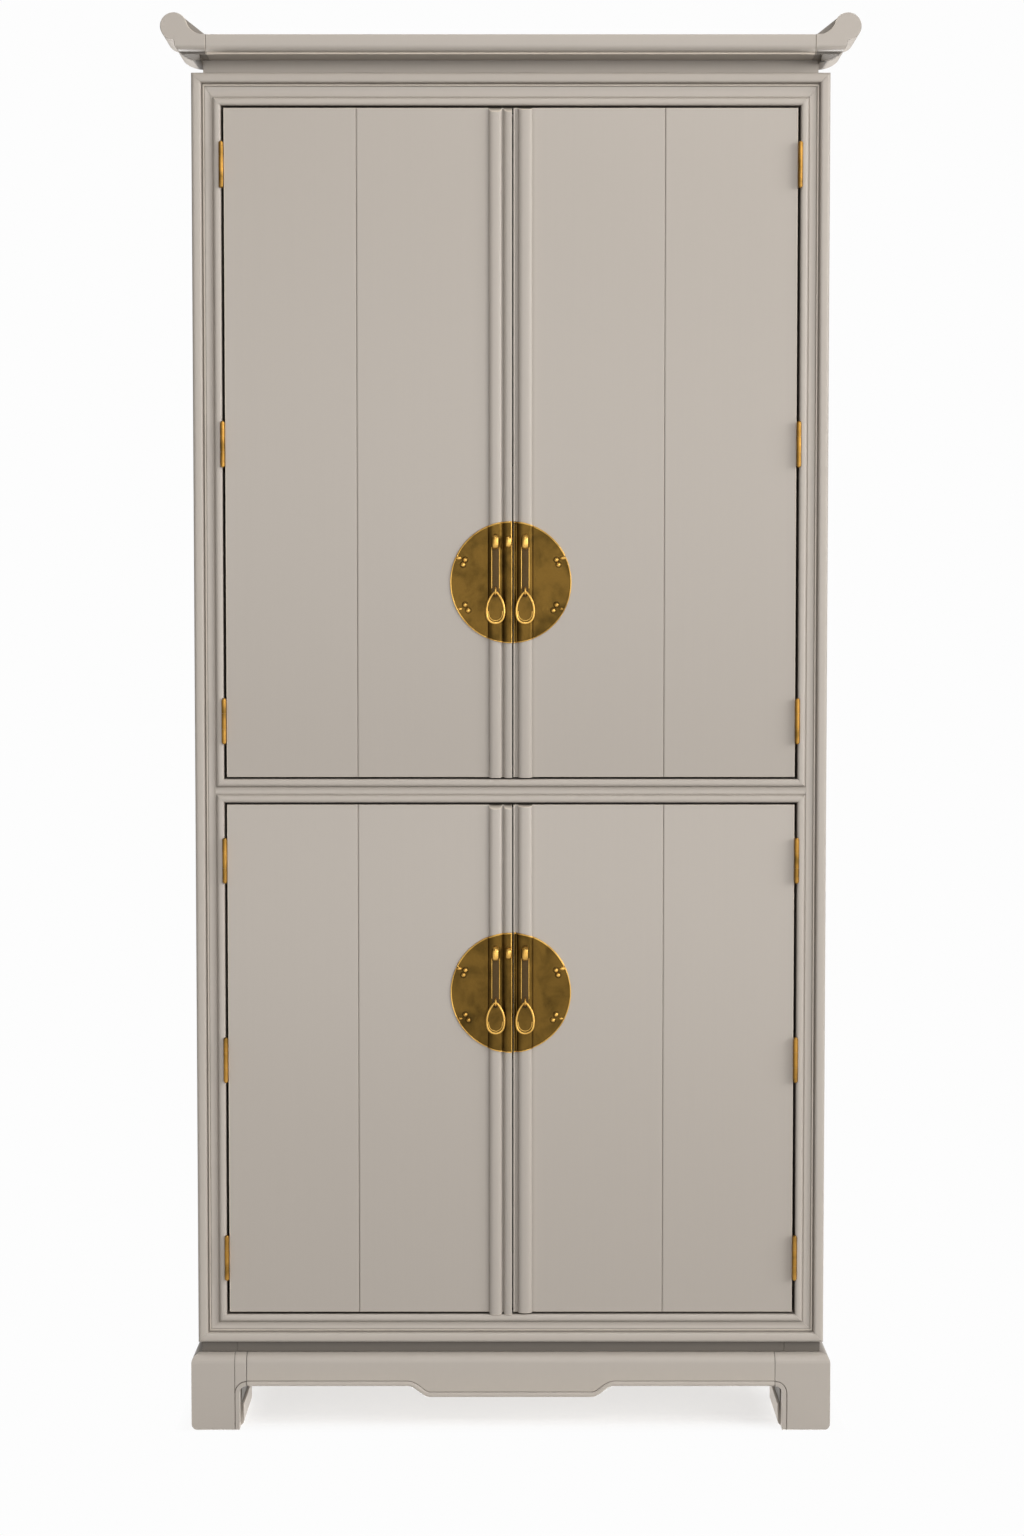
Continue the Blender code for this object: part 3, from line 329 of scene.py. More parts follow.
def shell(front, back, marks=None):
    """A closed body between two grids of the same shape, joined along their borders.

    marks holds wear and painted shade for each point of the front grid; the back grid gets none.
    """
    rows, columns = front.shape[:2]
    count = rows * columns
    index = np.arange(count).reshape(rows, columns)
    border = np.concatenate([index[0, :-1], index[:-1, -1], index[-1, :0:-1], index[:0:-1, 0]])
    after = np.roll(border, -1)
    walls = np.stack([border, after, after + count, border + count], 1)
    quads = np.concatenate([grid_quads(rows, columns), grid_quads(rows, columns) + count, walls])
    marks = np.zeros((count, 2)) if marks is None else marks.reshape(-1, 2)
    points = np.concatenate([front.reshape(-1, 3), back.reshape(-1, 3)])
    return {"points": points, "quads": quads, "caps": [],
            "marks": np.concatenate([marks, np.zeros((count, 2))])}


def sweep(sections, marks=None, closed=False):
    """A body from closed sections in a row: grid[i, j] is point j of section i. Open ends get flat caps."""
    rows, columns = sections.shape[:2]
    index = np.arange(rows * columns).reshape(rows, columns)
    marks = np.zeros((rows * columns, 2)) if marks is None else marks.reshape(-1, 2)
    return {"points": sections.reshape(-1, 3), "quads": grid_quads(rows, columns, closed, True),
            "caps": [] if closed else [index[0].tolist(), index[-1].tolist()], "marks": marks}


def tube(path, radius, sides=10, closed=False, aside=(0, 1, 0), stretch=1.0):
    """A round wire: circles of the radius square to the path, whose first axis leans towards aside.

    stretch widens the circles along aside.
    """
    path = np.asarray(path, float)
    if closed:
        ahead = np.roll(path, -1, 0) - np.roll(path, 1, 0)
    else:
        ahead = np.gradient(path, axis=0)
    ahead /= np.linalg.norm(ahead, axis=1, keepdims=True)
    first = np.asarray(aside, float) - ahead * (ahead @ np.asarray(aside, float))[:, None]
    first /= np.linalg.norm(first, axis=1, keepdims=True)
    second = np.cross(ahead, first)
    turn = np.linspace(0, 2 * np.pi, sides, endpoint=False)
    ring = first[:, None] * stretch * np.cos(turn)[:, None] + second[:, None] * np.sin(turn)[:, None]
    return sweep(path[:, None] + radius * ring, closed=closed)


def dome(centre, radii, rings=8, sides=20, squareness=1.0):
    """Half an ellipsoid bulging to -Y with a flat back: r = sin(a) ** squareness, height = cos(a)."""
    rise = np.linspace(0, np.pi / 2, rings)[:, None]
    turn = np.linspace(0, 2 * np.pi, sides, endpoint=False)[None, :]
    spread = np.sin(rise) ** squareness
    return sweep(grid_points(centre[0] + radii[0] * spread * np.cos(turn),
                             centre[1] - radii[1] * np.cos(rise),
                             centre[2] + radii[2] * spread * np.sin(turn)))


def put_piece(name, shells, material, body, replaced=()):
    """One mesh object from closed bodies, riding on a body of the frame."""
    starts = np.cumsum([0] + [len(part["points"]) for part in shells]).tolist()
    points = np.concatenate([part["points"] for part in shells])
    faces = np.concatenate([part["quads"] + start for part, start in zip(shells, starts)]).tolist()
    for part, start in zip(shells, starts):
        faces += [[spot + start for spot in cap] for cap in part["caps"]]
    marks = np.concatenate([part["marks"] for part in shells])
    mesh = bpy.data.meshes.new(name)
    mesh.from_pydata(points.tolist(), [], faces)
    # Wear, and painted shade, stored on the points for the materials
    for column, label in enumerate(("wear", "painted_shade_and_seams")):
        mark_points(mesh, label, marks[:, column])
    return finish_piece(name, mesh, material, body, replaced)


def mark_points(mesh, label, values):
    """Stores one value for each point of a mesh under a label that the materials read."""
    layer = mesh.attributes.new(label, "FLOAT", "POINT")
    layer.data.foreach_set("value", np.ascontiguousarray(values, np.float32))


def finish_piece(name, mesh, material, body, replaced, sharp=32):
    """Welds a mesh, turns its faces outwards, shades it and hangs it on a body of the frame."""
    edit = bmesh.new()
    edit.from_mesh(mesh)
    bmesh.ops.remove_doubles(edit, verts=edit.verts, dist=WELD)
    bmesh.ops.dissolve_degenerate(edit, edges=edit.edges, dist=1e-7)
    bmesh.ops.recalc_face_normals(edit, faces=edit.faces)
    edit.to_mesh(mesh)
    edit.free()
    mesh.shade_smooth()
    mesh.set_sharp_from_angle(angle=math.radians(sharp))
    mesh.materials.clear()
    mesh.materials.append(material)
    piece = bpy.data.objects.new(name, mesh)
    bpy.context.scene.collection.objects.link(piece)
    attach(piece, body)
    if replaced:
        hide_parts(*replaced)
    return piece


def body_of_node(node):
    """Name of the body that a CAD node belongs to."""
    bodies = frame["record"]["behaviour"]["bodies"]
    return next(body for body, nodes in bodies.items() if node in nodes)


def refine(node, material, softness=0.0, sharp=12, painted_shade_and_seams=None):
    """A welded copy of a CAD node in its place, with its edges softened.

    Its last argument is a function that gives the painted shade at an array of points.
    """
    mesh = frame["nodes"][node].data.copy()
    edit = bmesh.new()
    edit.from_mesh(mesh)
    bmesh.ops.remove_doubles(edit, verts=edit.verts, dist=WELD)
    bmesh.ops.dissolve_limit(edit, angle_limit=math.radians(0.2), verts=edit.verts, edges=edit.edges)
    edit.to_mesh(mesh)
    edit.free()
    if painted_shade_and_seams:
        points = np.empty(3 * len(mesh.vertices))
        mesh.vertices.foreach_get("co", points)
        mark_points(mesh, "painted_shade_and_seams", painted_shade_and_seams(points.reshape(-1, 3)))
    piece = finish_piece("dressed_" + node, mesh, material, body_of_node(node), (node,), sharp)
    if softness:
        bevel = piece.modifiers.new("softness", "BEVEL")
        bevel.width = softness
        bevel.segments = 2
        bevel.limit_method = "ANGLE"
        bevel.angle_limit = math.radians(40)
    return piece


# Materials

def set_inputs(tree, node, inputs):
    """Gives a node's inputs values or links."""
    for name, value in inputs.items():
        if isinstance(value, bpy.types.NodeSocket):
            tree.links.new(value, node.inputs[name])
        else:
            node.inputs[name].default_value = value


def add_node(tree, kind, inputs=None, **settings):
    """Adds a node, sets its settings, and gives its inputs values or links."""
    node = tree.nodes.new(kind)
    for name, value in settings.items():
        setattr(node, name, value)
    set_inputs(tree, node, inputs or {})
    return node


def calculate(tree, operation, *values):
    """Result of a sum on values or links."""
    return add_node(tree, "ShaderNodeMath", dict(enumerate(values)), operation=operation).outputs[0]


def remap(tree, value, source, target, **settings):
    """A value carried from one range to another and held at its ends."""
    ends = {"From Min": source[0], "From Max": source[1], "To Min": target[0], "To Max": target[1]}
    return add_node(tree, "ShaderNodeMapRange", {"Value": value, **ends}, **settings).outputs[0]


def noise(tree, place, size, detail, distortion=0.0):
    """Noise whose features have a size in metres."""
    inputs = {"Vector": place, "Scale": 1 / size, "Detail": detail, "Distortion": distortion}
    return add_node(tree, "ShaderNodeTexNoise", inputs).outputs["Fac"]


def blend(tree, share, first, second):
    """A colour that goes from the first to the second with the share."""
    inputs = {"Factor": share, "A": first, "B": second}
    return add_node(tree, "ShaderNodeMix", inputs, data_type="RGBA").outputs["Result"]


def dim(tree, colour, share):
    """A colour times a share."""
    inputs = {0: tuple(colour), "Scale": share}
    return add_node(tree, "ShaderNodeVectorMath", inputs, operation="SCALE").outputs[0]


def new_material(name):
    """A Principled material with nothing set: the material, its tree, shader and object coordinates."""
    material = bpy.data.materials.new(name)
    material.use_nodes = True
    tree = material.node_tree
    place = add_node(tree, "ShaderNodeTexCoord").outputs["Object"]
    return material, tree, tree.nodes["Principled BSDF"], place


def within(tree, line, *limits):
    """A line kept only where all the limits hold: each is an operation, a value and its limit."""
    for limit in limits:
        line = calculate(tree, "MULTIPLY", line, calculate(tree, *limit))
    return line


def seam(tree, axes, spot, low, high):
    """Where a hairline seam runs on the cabinet's front: 1 on the line x = spot between two heights, and
    fading to 0 at the seam's reach beside it."""
    away = calculate(tree, "ABSOLUTE", calculate(tree, "SUBTRACT", axes["X"], spot))
    line = remap(tree, away, (0.0, SEAM_REACH), (1.0, 0.0))
    return within(tree, line, ("GREATER_THAN", axes["Z"], low), ("LESS_THAN", axes["Z"], high),
                  ("LESS_THAN", axes["Y"], FACE + SEAM_ZONE))


def arch_groove(tree, axes):
    """Where the groove beside the bead of a front foot runs, as a line of painted shade: up the foot, round
    the arch and to the apron.

    Its line lies at one distance from the arch's centre, and below the centre from the upright through it:
    |length(|x| - cx, max(z - cz, 0)) - r|.
    """
    out = calculate(tree, "SUBTRACT", calculate(tree, "ABSOLUTE", axes["X"]), APRON_JOINT)
    rise = calculate(tree, "MAXIMUM", calculate(tree, "SUBTRACT", axes["Z"], ARCH_SPRING), 0.0)
    arm = add_node(tree, "ShaderNodeCombineXYZ", {"X": out, "Y": rise}).outputs[0]
    reach = add_node(tree, "ShaderNodeVectorMath", {0: arm}, operation="LENGTH").outputs["Value"]
    miss = calculate(tree, "ABSOLUTE", calculate(tree, "SUBTRACT", reach, ARCH_RADIUS + EDGE_BEAD))
    line = remap(tree, miss, (0.0, GROOVE_REACH), (GROOVE_STRENGTH, 0.0))
    return within(tree, line, ("GREATER_THAN", out, 0.0), ("LESS_THAN", axes["Y"], BASE_FRONT + GROOVE_ZONE))


def lacquer_material(name, colours, colour, roughness, seams):
    """Sprayed lacquer on wood: an even satin coat over a faint grain, painted shade in its recesses, gaps
    and under its overhangs, dark seams, a groove line darkened as its shade, and pale primer along rubbed
    arrises."""
    material, tree, shader, place = new_material(name)
    # Grain 3 mm wide and 200 mm long, rubbed patches of 11 mm, orange peel of 1.2 mm
    fibre = (1 / 0.003, 1 / 0.003, 1 / 0.200)
    along = add_node(tree, "ShaderNodeMapping", {"Vector": place, "Scale": fibre})
    grain = noise(tree, along.outputs[0], 1.0, 3.0)
    coat = dim(tree, colour, remap(tree, grain, (0.0, 1.0), (0.99, 1.01)))
    # Painted shade kept on the points: in recesses, gaps and under overhangs
    shade_and_seam_share = add_node(tree, "ShaderNodeAttribute", attribute_name="painted_shade_and_seams").outputs["Fac"]
    orange = {"Height": noise(tree, place, 0.0012, 1.0), "Strength": 0.01, "Distance": 0.0001}
    peel = add_node(tree, "ShaderNodeBump", orange).outputs[0]
    axes = add_node(tree, "ShaderNodeSeparateXYZ", {0: place}).outputs
    lines = [seam(tree, axes, *run) for run in seams]
    if seams:
        lines.append(arch_groove(tree, axes))
    for line in lines:
        shade_and_seam_share = calculate(tree, "MAXIMUM", shade_and_seam_share, line)
        cut = {"Height": line, "Normal": peel, "Distance": SEAM_DEPTH}
        peel = add_node(tree, "ShaderNodeBump", cut, invert=True).outputs[0]
    # The coat darkened by the painted shade and the seam lines
    darkened_coat = blend(tree, shade_and_seam_share, coat, (*colours.painted_shade_and_seams, 1.0))
    wear = add_node(tree, "ShaderNodeAttribute", attribute_name="wear").outputs["Fac"]
    patch = remap(tree, noise(tree, place, 0.011, 4.0), (0.3, 0.7), (0.8, 1.0))
    rubbed = calculate(tree, "MULTIPLY", patch, wear)
    set_inputs(tree, shader, {"Base Color": blend(tree, rubbed, darkened_coat, (*colours.bare, 1.0)),
                              "Roughness": remap(tree, rubbed, (0.0, 1.0), (roughness, roughness + 0.3)),
                              "Normal": peel, "IOR": 1.4})
    return material


def brass_material(name, dark, bright, roughness, cover, bump):
    """Aged brass: cloudy patina over yellow metal, with fine pits and scratches in its polish."""
    material, tree, shader, place = new_material(name)
    # Patina clouds of 30 mm, pits of 2 mm
    cloud = noise(tree, place, 0.030, 5.0, 0.4)
    pit = noise(tree, place, 0.002, 3.0)
    share = remap(tree, cloud, (cover - 0.22, cover + 0.22), (0.0, 1.0), interpolation_type="SMOOTHSTEP")
    dents = add_node(tree, "ShaderNodeBump", {"Height": pit, "Strength": bump, "Distance": 0.0003})
    gloss = (roughness - 0.06, roughness + 0.10)
    set_inputs(tree, shader, {"Base Color": blend(tree, share, (*dark, 1.0), (*bright, 1.0)),
                              "Roughness": remap(tree, pit, (0.3, 0.7), gloss),
                              "Normal": dents.outputs[0], "Metallic": 1.0})
    return material


def finishes():
    """The cabinet's materials by name, made on first use."""
    colours = bpy.context.scene.cabinet_colours
    seams = [(-FOOT_GROOVE, ARCH_SPRING, BASE_TOP)]
    for sign in SIDES.values():
        seams += [(sign * APRON_JOINT, APRON_EDGE, BASE_TOP), (sign * WAIST_SEAM, BASE_TOP, CARCASS_BOTTOM)]
    # Colour, roughness and seams
    lacquers = {"satin_lacquer": (colours.lacquer, 0.38, ()),
                "satin_lacquer_seamed": (colours.lacquer, 0.38, seams),
                "inside_lacquer": (colours.inside, 0.55, ())}
    # Dark and bright colour, roughness, share of the dark one and strength of the pits
    brasses = {"brass_field": (colours.brass_dark, colours.brass_field, 0.42, 0.42, 0.25),
               "brass_rubbed": (colours.brass_worn, colours.brass_rubbed, 0.40, 0.40, 0.10),
               "brass_hinge": (colours.brass_field, colours.brass_worn, 0.38, 0.45, 0.10),
               "brass_dark": (colours.brass_dark, colours.brass_field, 0.45, 0.62, 0.20),
               "brass_strap": (colours.strap, colours.brass_dark, 0.50, 0.70, 0.15)}
    made = {}
    for name, settings in lacquers.items():
        made[name] = bpy.data.materials.get(name) or lacquer_material(name, colours, *settings)
    for name, settings in brasses.items():
        made[name] = bpy.data.materials.get(name) or brass_material(name, *settings)
    return made


# Face frame

def half_round(start, width, proud, fullness, steps=22):
    """A round on a width of ground: place = start + w / 2 (1 - cos a), height = proud sin a, with cosine and
    sine raised to the fullness. Below 1 the round is fuller than half an ellipse.

    Its crown is rubbed a little, and painted shade darkens it within 0.45 rad of its feet.
    """
    angle = np.linspace(0, np.pi, steps + 1)
    across = np.sign(np.cos(angle)) * np.abs(np.cos(angle)) ** fullness
    height = proud * np.abs(np.sin(angle)) ** fullness
    foot = np.clip(1 - np.minimum(angle, np.pi - angle) / 0.45, 0, 1)
    return np.stack([start + width / 2 * (1 - across), height, 0.1 * np.sin(angle) ** 8, 0.25 * foot], 1)


def flat_run(start, end, hollow, steps=10):
    """A hollow flat between two places: height = -hollow sin(pi t). Painted shade darkens 0.16 of its run at
    each end."""
    share = np.linspace(0, 1, steps + 1)
    painted_shade_and_seams = 0.1 * np.clip(1 - np.minimum(share, 1 - share) / 0.16, 0, 1)
    return np.stack([start + (end - start) * share, -hollow * np.sin(np.pi * share), 0 * share, painted_shade_and_seams], 1)


def outer_moulding():
    """Bead, quirk and fillet at the cabinet's edge: rows of place, height, wear and painted shade, which
    lies in the quirk and in the step down behind the fillet.
    """
    quirk = [[OUTER_BEAD + QUIRK / 2, -QUIRK_DEPTH, 0, 0.5],
             [OUTER_BEAD + QUIRK, FILLET_PROUD * 0.6, 0.5, 0.1],
             [OUTER_BEAD + QUIRK * 1.15, FILLET_PROUD, 0.45, 0],
             [OUTER_ZONE - QUIRK * 0.6, FILLET_PROUD, 0.45, 0],
             [OUTER_ZONE - QUIRK * 0.4, 0, 0.2, 0.4],
             [OUTER_ZONE - QUIRK * 0.2, -FILLET_PROUD / 3, 0, 0.4],
             [OUTER_ZONE, 0, 0.1, 0.1]]
    return np.concatenate([half_round(0.0, OUTER_BEAD, OUTER_PROUD, OUTER_FULLNESS), quirk])


def inner_moulding():
    """Wall, bead and dip at a door opening, from the opening outwards: the wall is painted dark for the
    shadow in the door gap, and the dip gets painted shade.
    """
    wall = [[0.0, FACE - FRAME_BACK + 0.001, 0, 1], [0.0, -0.0008, 0, 1]]
    dip = [[INNER_BEAD + DIP / 2, -DIP_DEPTH, 0, 0.2], [INNER_ZONE, 0, 0.1, 0.1]]
    return np.concatenate([wall, half_round(0.0, INNER_BEAD, INNER_PROUD, INNER_FULLNESS), dip])


def mirrored(line, width):
    """A moulding line read from the other side of a member."""
    return np.concatenate([width - line[::-1, :1], line[::-1, 1:]], 1)


def frame_lines(width):
    """Rows for a stile or outer rail: everything up to the inner zone, and the inner zone."""
    flat = flat_run(OUTER_ZONE, width - INNER_ZONE, FLAT_HOLLOW)
    return np.concatenate([outer_moulding(), flat]), mirrored(inner_moulding(), width)


def mitre(across, width, outside, opening):
    """Where a stile or outer rail ends at places across it, from the cabinet's outside to its opening:
    mitred in the outer and the inner zone, straight between them, and short by half a gap."""
    inwards = math.copysign(1.0, opening - outside)
    ends = [outside, outside + inwards * OUTER_ZONE, opening - inwards * INNER_ZONE, opening]
    return np.interp(across, [0, OUTER_ZONE, width - INNER_ZONE, width], ends) + inwards * HALF_GAP


def stile_place(sign):
    """Makes points of a stile: across counts from the cabinet's side, along is the height."""
    def place(across, depth, along):
        return grid_points(sign * (HALF_WIDTH - across), depth, along)
    return place


def rail_place(level, up):
    """Makes points of a rail: across counts from a level, down where up is 1, and along is x."""
    def place(across, depth, along):
        return grid_points(along, depth, level - up * across)
    return place


def moulded(line, start, end, place):
    """A member with a moulded face: line rows carried from start to end, each row with its own ends.

    place turns (across, depth, along) into points. The mitres follow from the ends.
    """
    across, depth = line[:, 0], FACE - line[:, 1]
    front = np.stack([place(across, depth, start), place(across, depth, end)], 1)
    rear = front.copy()
    rear[..., 1] = FRAME_BACK
    return shell(front, rear, np.repeat(line[:, None, 2:], 2, 1))


def lip(edge, up):
    """The stop that the doors close against, behind a rail's edge, with mitred ends and a front painted dark
    for the shadow in the door gap.
    """
    height = np.array([[edge + up * STOP_ROOT], [edge - up * STOP_LIP]])
    ends = (HALF_OPENING + up * (height - edge)) * [-1, 1]
    # The stop's front is painted dark for the shadow in the door gap
    gap_shadow = np.zeros((2, 2, 2))
    gap_shadow[..., 1] = 1.0
    return shell(grid_points(ends, FRAME_BACK, height), grid_points(ends, RAIL_BACK, height), gap_shadow)


class CABINET_OT_face_frame(bpy.types.Operator):
    """Makes the two stiles and three rails with their beads mitred where they meet."""
    bl_idname = "cabinet.face_frame"
    bl_label = "Face frame"

    def execute(self, context):
        outer, inner = frame_lines(STILE_WIDTH)
        low, high = ([mitre(line[:, 0], STILE_WIDTH, outside, opening) for line in (outer, inner)]
                     for outside, opening in ((CARCASS_BOTTOM, LOWER_SILL), (CARCASS_TOP, UPPER_HEAD)))
        toward = STILE_WIDTH - inner[:, 0]
        for side, sign in SIDES.items():
            place = stile_place(sign)
            self.put("stile_" + side, [moulded(outer, low[0], high[0], place),
                                       moulded(inner, low[1], LOWER_HEAD + toward - HALF_GAP, place),
                                       moulded(inner, UPPER_SILL - toward + HALF_GAP, high[1], place)])
        for name, outside, opening, up in (("rail_top", CARCASS_TOP, UPPER_HEAD, 1),
                                           ("rail_bottom", CARCASS_BOTTOM, LOWER_SILL, -1)):
            width = abs(outside - opening)
            line = np.concatenate(frame_lines(width))
            reach = mitre(line[:, 0], width, HALF_WIDTH, HALF_OPENING)
            self.put(name, [moulded(line, -reach, reach, rail_place(outside, up)), lip(opening, up)])
        width = UPPER_SILL - LOWER_HEAD
        flat = flat_run(INNER_ZONE, width - INNER_ZONE, MID_RAIL_HOLLOW)
        line = np.concatenate([inner_moulding(), flat, mirrored(inner_moulding(), width)])
        reach = HALF_OPENING + np.minimum(np.minimum(line[:, 0], width - line[:, 0]), INNER_ZONE) - HALF_GAP
        self.put("rail_mid", [moulded(line, -reach, reach, rail_place(UPPER_SILL, 1)), lip(LOWER_HEAD, 1),
                              lip(UPPER_SILL, -1)])
        return {"FINISHED"}

    def put(self, node, parts):
        """Puts a member of the frame in the place of its node."""
        put_piece("moulded_" + node, parts, finishes()["satin_lacquer"], "cabinet", (node,))


# Doors

def door_places():
    """Tier, side, sign of the side and label of each door."""
    return [(tier, side, sign, "%s_%s" % (tier, side)) for tier in TIERS for side, sign in SIDES.items()]


def relief(side, spots, offset):
    """Height of a door's mouldings over the ground, grown by offset: the highest of the flat and of each
    round, (rise + offset) (1 - |u|^n)^(1/n) with u = (s - place) / (half + offset)."""
    height = np.full_like(spots, offset)
    for place, half, rise in ROUNDS[side]:
        share = np.clip(np.abs(spots - place) / (half + offset), 0, 1)
        height = np.maximum(height, (rise + offset) * (1 - share ** ROUND_POWER) ** (1 / ROUND_POWER))
    return height


def meeting_spots(side, offset, end, steps=26):
    """Places across a door's mouldings: place - (half + offset) cos a on each round, close at its feet."""
    spots = [[0.0]]
    for place, half, _ in ROUNDS[side]:
        spots.append(place - (half + offset) * np.cos(np.linspace(0, np.pi, steps + 1)))
    spots = np.unique(np.round(np.concatenate(spots), 6))
    return spots[(spots >= 0) & (spots <= end)]


def door_line(side, width):
    """Front line of a door from its meeting edge: rows of place, height, wear and painted shade."""
    place, half, _ = ROUNDS[side][-1]
    edge = place + half
    spots = meeting_spots(side, 0.0, edge)
    height = relief(side, spots, 0.0)
    # Painted shade at the feet of the rounds
    painted_shade_and_seams = 0.25 * np.clip(1 - height / MEETING_SHADE, 0, 1)
    wear = 0.40 * np.exp(-spots / MEETING_RUB)
    # Painted shadow darkens the meeting edge's wall, from just behind the face to just under its arris
    wall = [[0.0, -WALL_FOOT, 0, 1], [0.0, height[0] - WALL_HEAD, 0, 1]]
    round_part = np.stack([spots, height, wear, painted_shade_and_seams], 1)
    middle = (edge + width) / 2
    groove = GROOVE / 2
    # Painted shade in the middle groove; the outer arris is rubbed pale
    flat_part = [[edge + 0.0015, 0, 0, 0.1], [edge + 0.004, 0, 0, 0], [middle - groove - 0.002, 0, 0, 0],
                 [middle - groove, 0, 0.1, 0.1], [middle - groove * 0.4, -GROOVE_LIP, 0.1, 0.3],
                 [middle, -GROOVE_DEPTH, 0, 0.6], [middle + groove * 0.4, -GROOVE_LIP, 0.1, 0.3],
                 [middle + groove, 0, 0.1, 0.1], [middle + groove + 0.002, 0, 0, 0],
                 [width - 0.0018, 0, 0, 0], [width - 0.0014, 0, 0.9, 0], [width - 0.0005, -0.0001, 0.9, 0],
                 [width, -0.0008, 0.2, 0]]
    return np.concatenate([wall, round_part, flat_part])


class CABINET_OT_doors(bpy.types.Operator):
    """Makes the four doors: two grooved boards, a bead, and a rolled edge where a pair meets."""
    bl_idname = "cabinet.doors"
    bl_label = "Doors"

    def execute(self, context):
        lacquer = finishes()["satin_lacquer"]
        for tier, side, sign, label in door_places():
            node = "door_" + label
            low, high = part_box(node)
            width = high.x - low.x
            line = door_line(side, width)
            inset = MEETING_BEVEL + line[:, :1] * (width - MEETING_BEVEL) / width
            # Columns: the ground's end, the leaning end of the mouldings with its soft arris, and the face
            rise = np.maximum(line[:, 1], 0.0)
            foot = low.z - BOTTOM_LEAN[tier, side] * rise
            head = high.z - TOP_LEAN[side] * rise
            levels = np.stack([low.z + 0 * rise, foot + ARRIS_START, foot + ARRIS_END,
                               head - ARRIS_END, head - ARRIS_START, high.z + 0 * rise], 1)
            depth = FACE - line[:, 1:2] + np.array([0.0, ARRIS_DROP, 0.0, 0.0, ARRIS_DROP, 0.0])
            depth[:, [0, -1]] = FACE + GROUND_STEP
            front = grid_points(MEETING[side] + sign * line[:, :1], depth, levels)
            flat = np.linspace(low.z, high.z, levels.shape[1])
            rear = grid_points(MEETING[side] + sign * inset, high.y, flat)
            marks = np.repeat(line[:, None, 2:], levels.shape[1], 1)
            marks[:, [1, -2], 0] = 0.9
            # Painted shadow on the ground's ends at the top and bottom, where the gaps are
            marks[:, [0, -1], 1] = 1.0
            put_piece("moulded_" + node, [shell(front, rear, marks)], lacquer, node, (node,))
        return {"FINISHED"}


# Lock plates

def bead_x(side):
    """Where the middle of a door's bead lies."""
    return MEETING[side] + SIDES[side] * BEAD_PLACE[side]


def plate_face(side, spots):
    """Depth of a lock plate's front face at places across its door."""
    return FACE - relief(side, np.asarray(spots, float), FIT + PLATE_THICKNESS)


def plate_sheet(side, level):
    """Half a round plate pressed over the mouldings: depth from the relief, and
    height = level + t sqrt(R^2 - x^2)."""
    sign, edge = SIDES[side], MEETING[side]
    tip = PLATE_RADIUS - sign * edge
    near = meeting_spots(side, FIT + PLATE_THICKNESS, tip)
    far = np.linspace(near[-1], tip, 24)
    spots = np.unique(np.concatenate([[PLATE_EDGE], near[near > PLATE_EDGE], far]))
    across = (edge + sign * spots)[:, None]
    half = np.sqrt(np.maximum(PLATE_RADIUS ** 2 - across ** 2, 1e-8))
    heights = level + half * np.linspace(-1, 1, 25)
    front = grid_points(across, plate_face(side, spots)[:, None], heights)
    rear = grid_points(across, (FACE - relief(side, spots, FIT))[:, None], heights)
    return shell(front, rear)


def on_plate(side, across, heights, lift=0.0):
    """Points that lie on a plate's face, lifted off it."""
    spots = np.maximum(SIDES[side] * (np.asarray(across, float) - MEETING[side]), PLATE_EDGE)
    return grid_points(MEETING[side] + SIDES[side] * spots, plate_face(side, spots) - lift, heights)


def round_plate(side, level, circle, turn, lift):
    """Points on a plate's face at a distance and a turn in radians from its middle: R cos a, R sin a."""
    return on_plate(side, SIDES[side] * circle * np.cos(turn), level + circle * np.sin(turn), lift)


def plate_rims(side, level, radius):
    """The plate's rolled edge as wires on its face: a bold arc from the meeting edge at the top to a curl,
    a thin one from there to the bottom, and a line down the meeting edge. The curl draws the arc in at its
    end."""
    sign, edge = SIDES[side], MEETING[side]
    reach = PLATE_RADIUS - radius / 2
    start = math.acos((sign * edge + PLATE_EDGE) / reach)
    curl = math.radians(CURL_TURN)
    turn = np.linspace(start, curl, 150)
    drawn = reach - CURL_DRAW * np.clip(1 - (turn - curl) / math.radians(CURL_SPAN), 0, 1) ** 2
    bold = round_plate(side, level, drawn, turn, -0.3 * radius)
    thin = round_plate(side, level, reach, np.linspace(curl, -start, 170), -0.2 * radius)
    wires = [tube(bold, radius, 8), tube(thin, radius * 0.7, 8)]
    top = math.sqrt(reach ** 2 - edge ** 2)
    stop = STAPLE_RISE if side == "left" else -top
    down = on_plate(side, edge + sign * radius, level + np.linspace(top, stop, 40), -0.5 * radius)
    if side == "right":
        return wires + [tube(down, radius / 2, 8)]
    low = on_plate(side, edge + sign * radius / 2, level + np.linspace(stop, -top, 60), -0.1 * radius)
    return wires + [tube(down, radius, 8), tube(low, radius / 2, 8)]


def staple(x, level, crown, stand, radius, wire, width, fullness=1.0, steps=24):
    """A loop that stands on a plate: two legs and a half round in the YZ plane, widened along X.

    The half round is r cos a, r sin a with cosine and sine raised to the fullness. Below 1 its front is
    flatter.
    """
    turn = np.linspace(-np.pi / 2, np.pi / 2, steps + 1)
    bulge = radius * np.abs(np.cos(turn)) ** fullness
    rise = radius * np.sign(turn) * np.abs(np.sin(turn)) ** fullness
    leg = [crown + PLATE_THICKNESS / 2]
    depth = np.concatenate([leg, crown - stand - bulge, leg])
    height = level + np.concatenate([[-radius], rise, [radius]])
    return tube(grid_points(x, depth, height), wire, 14, aside=(1, 0, 0), stretch=width / (2 * wire))


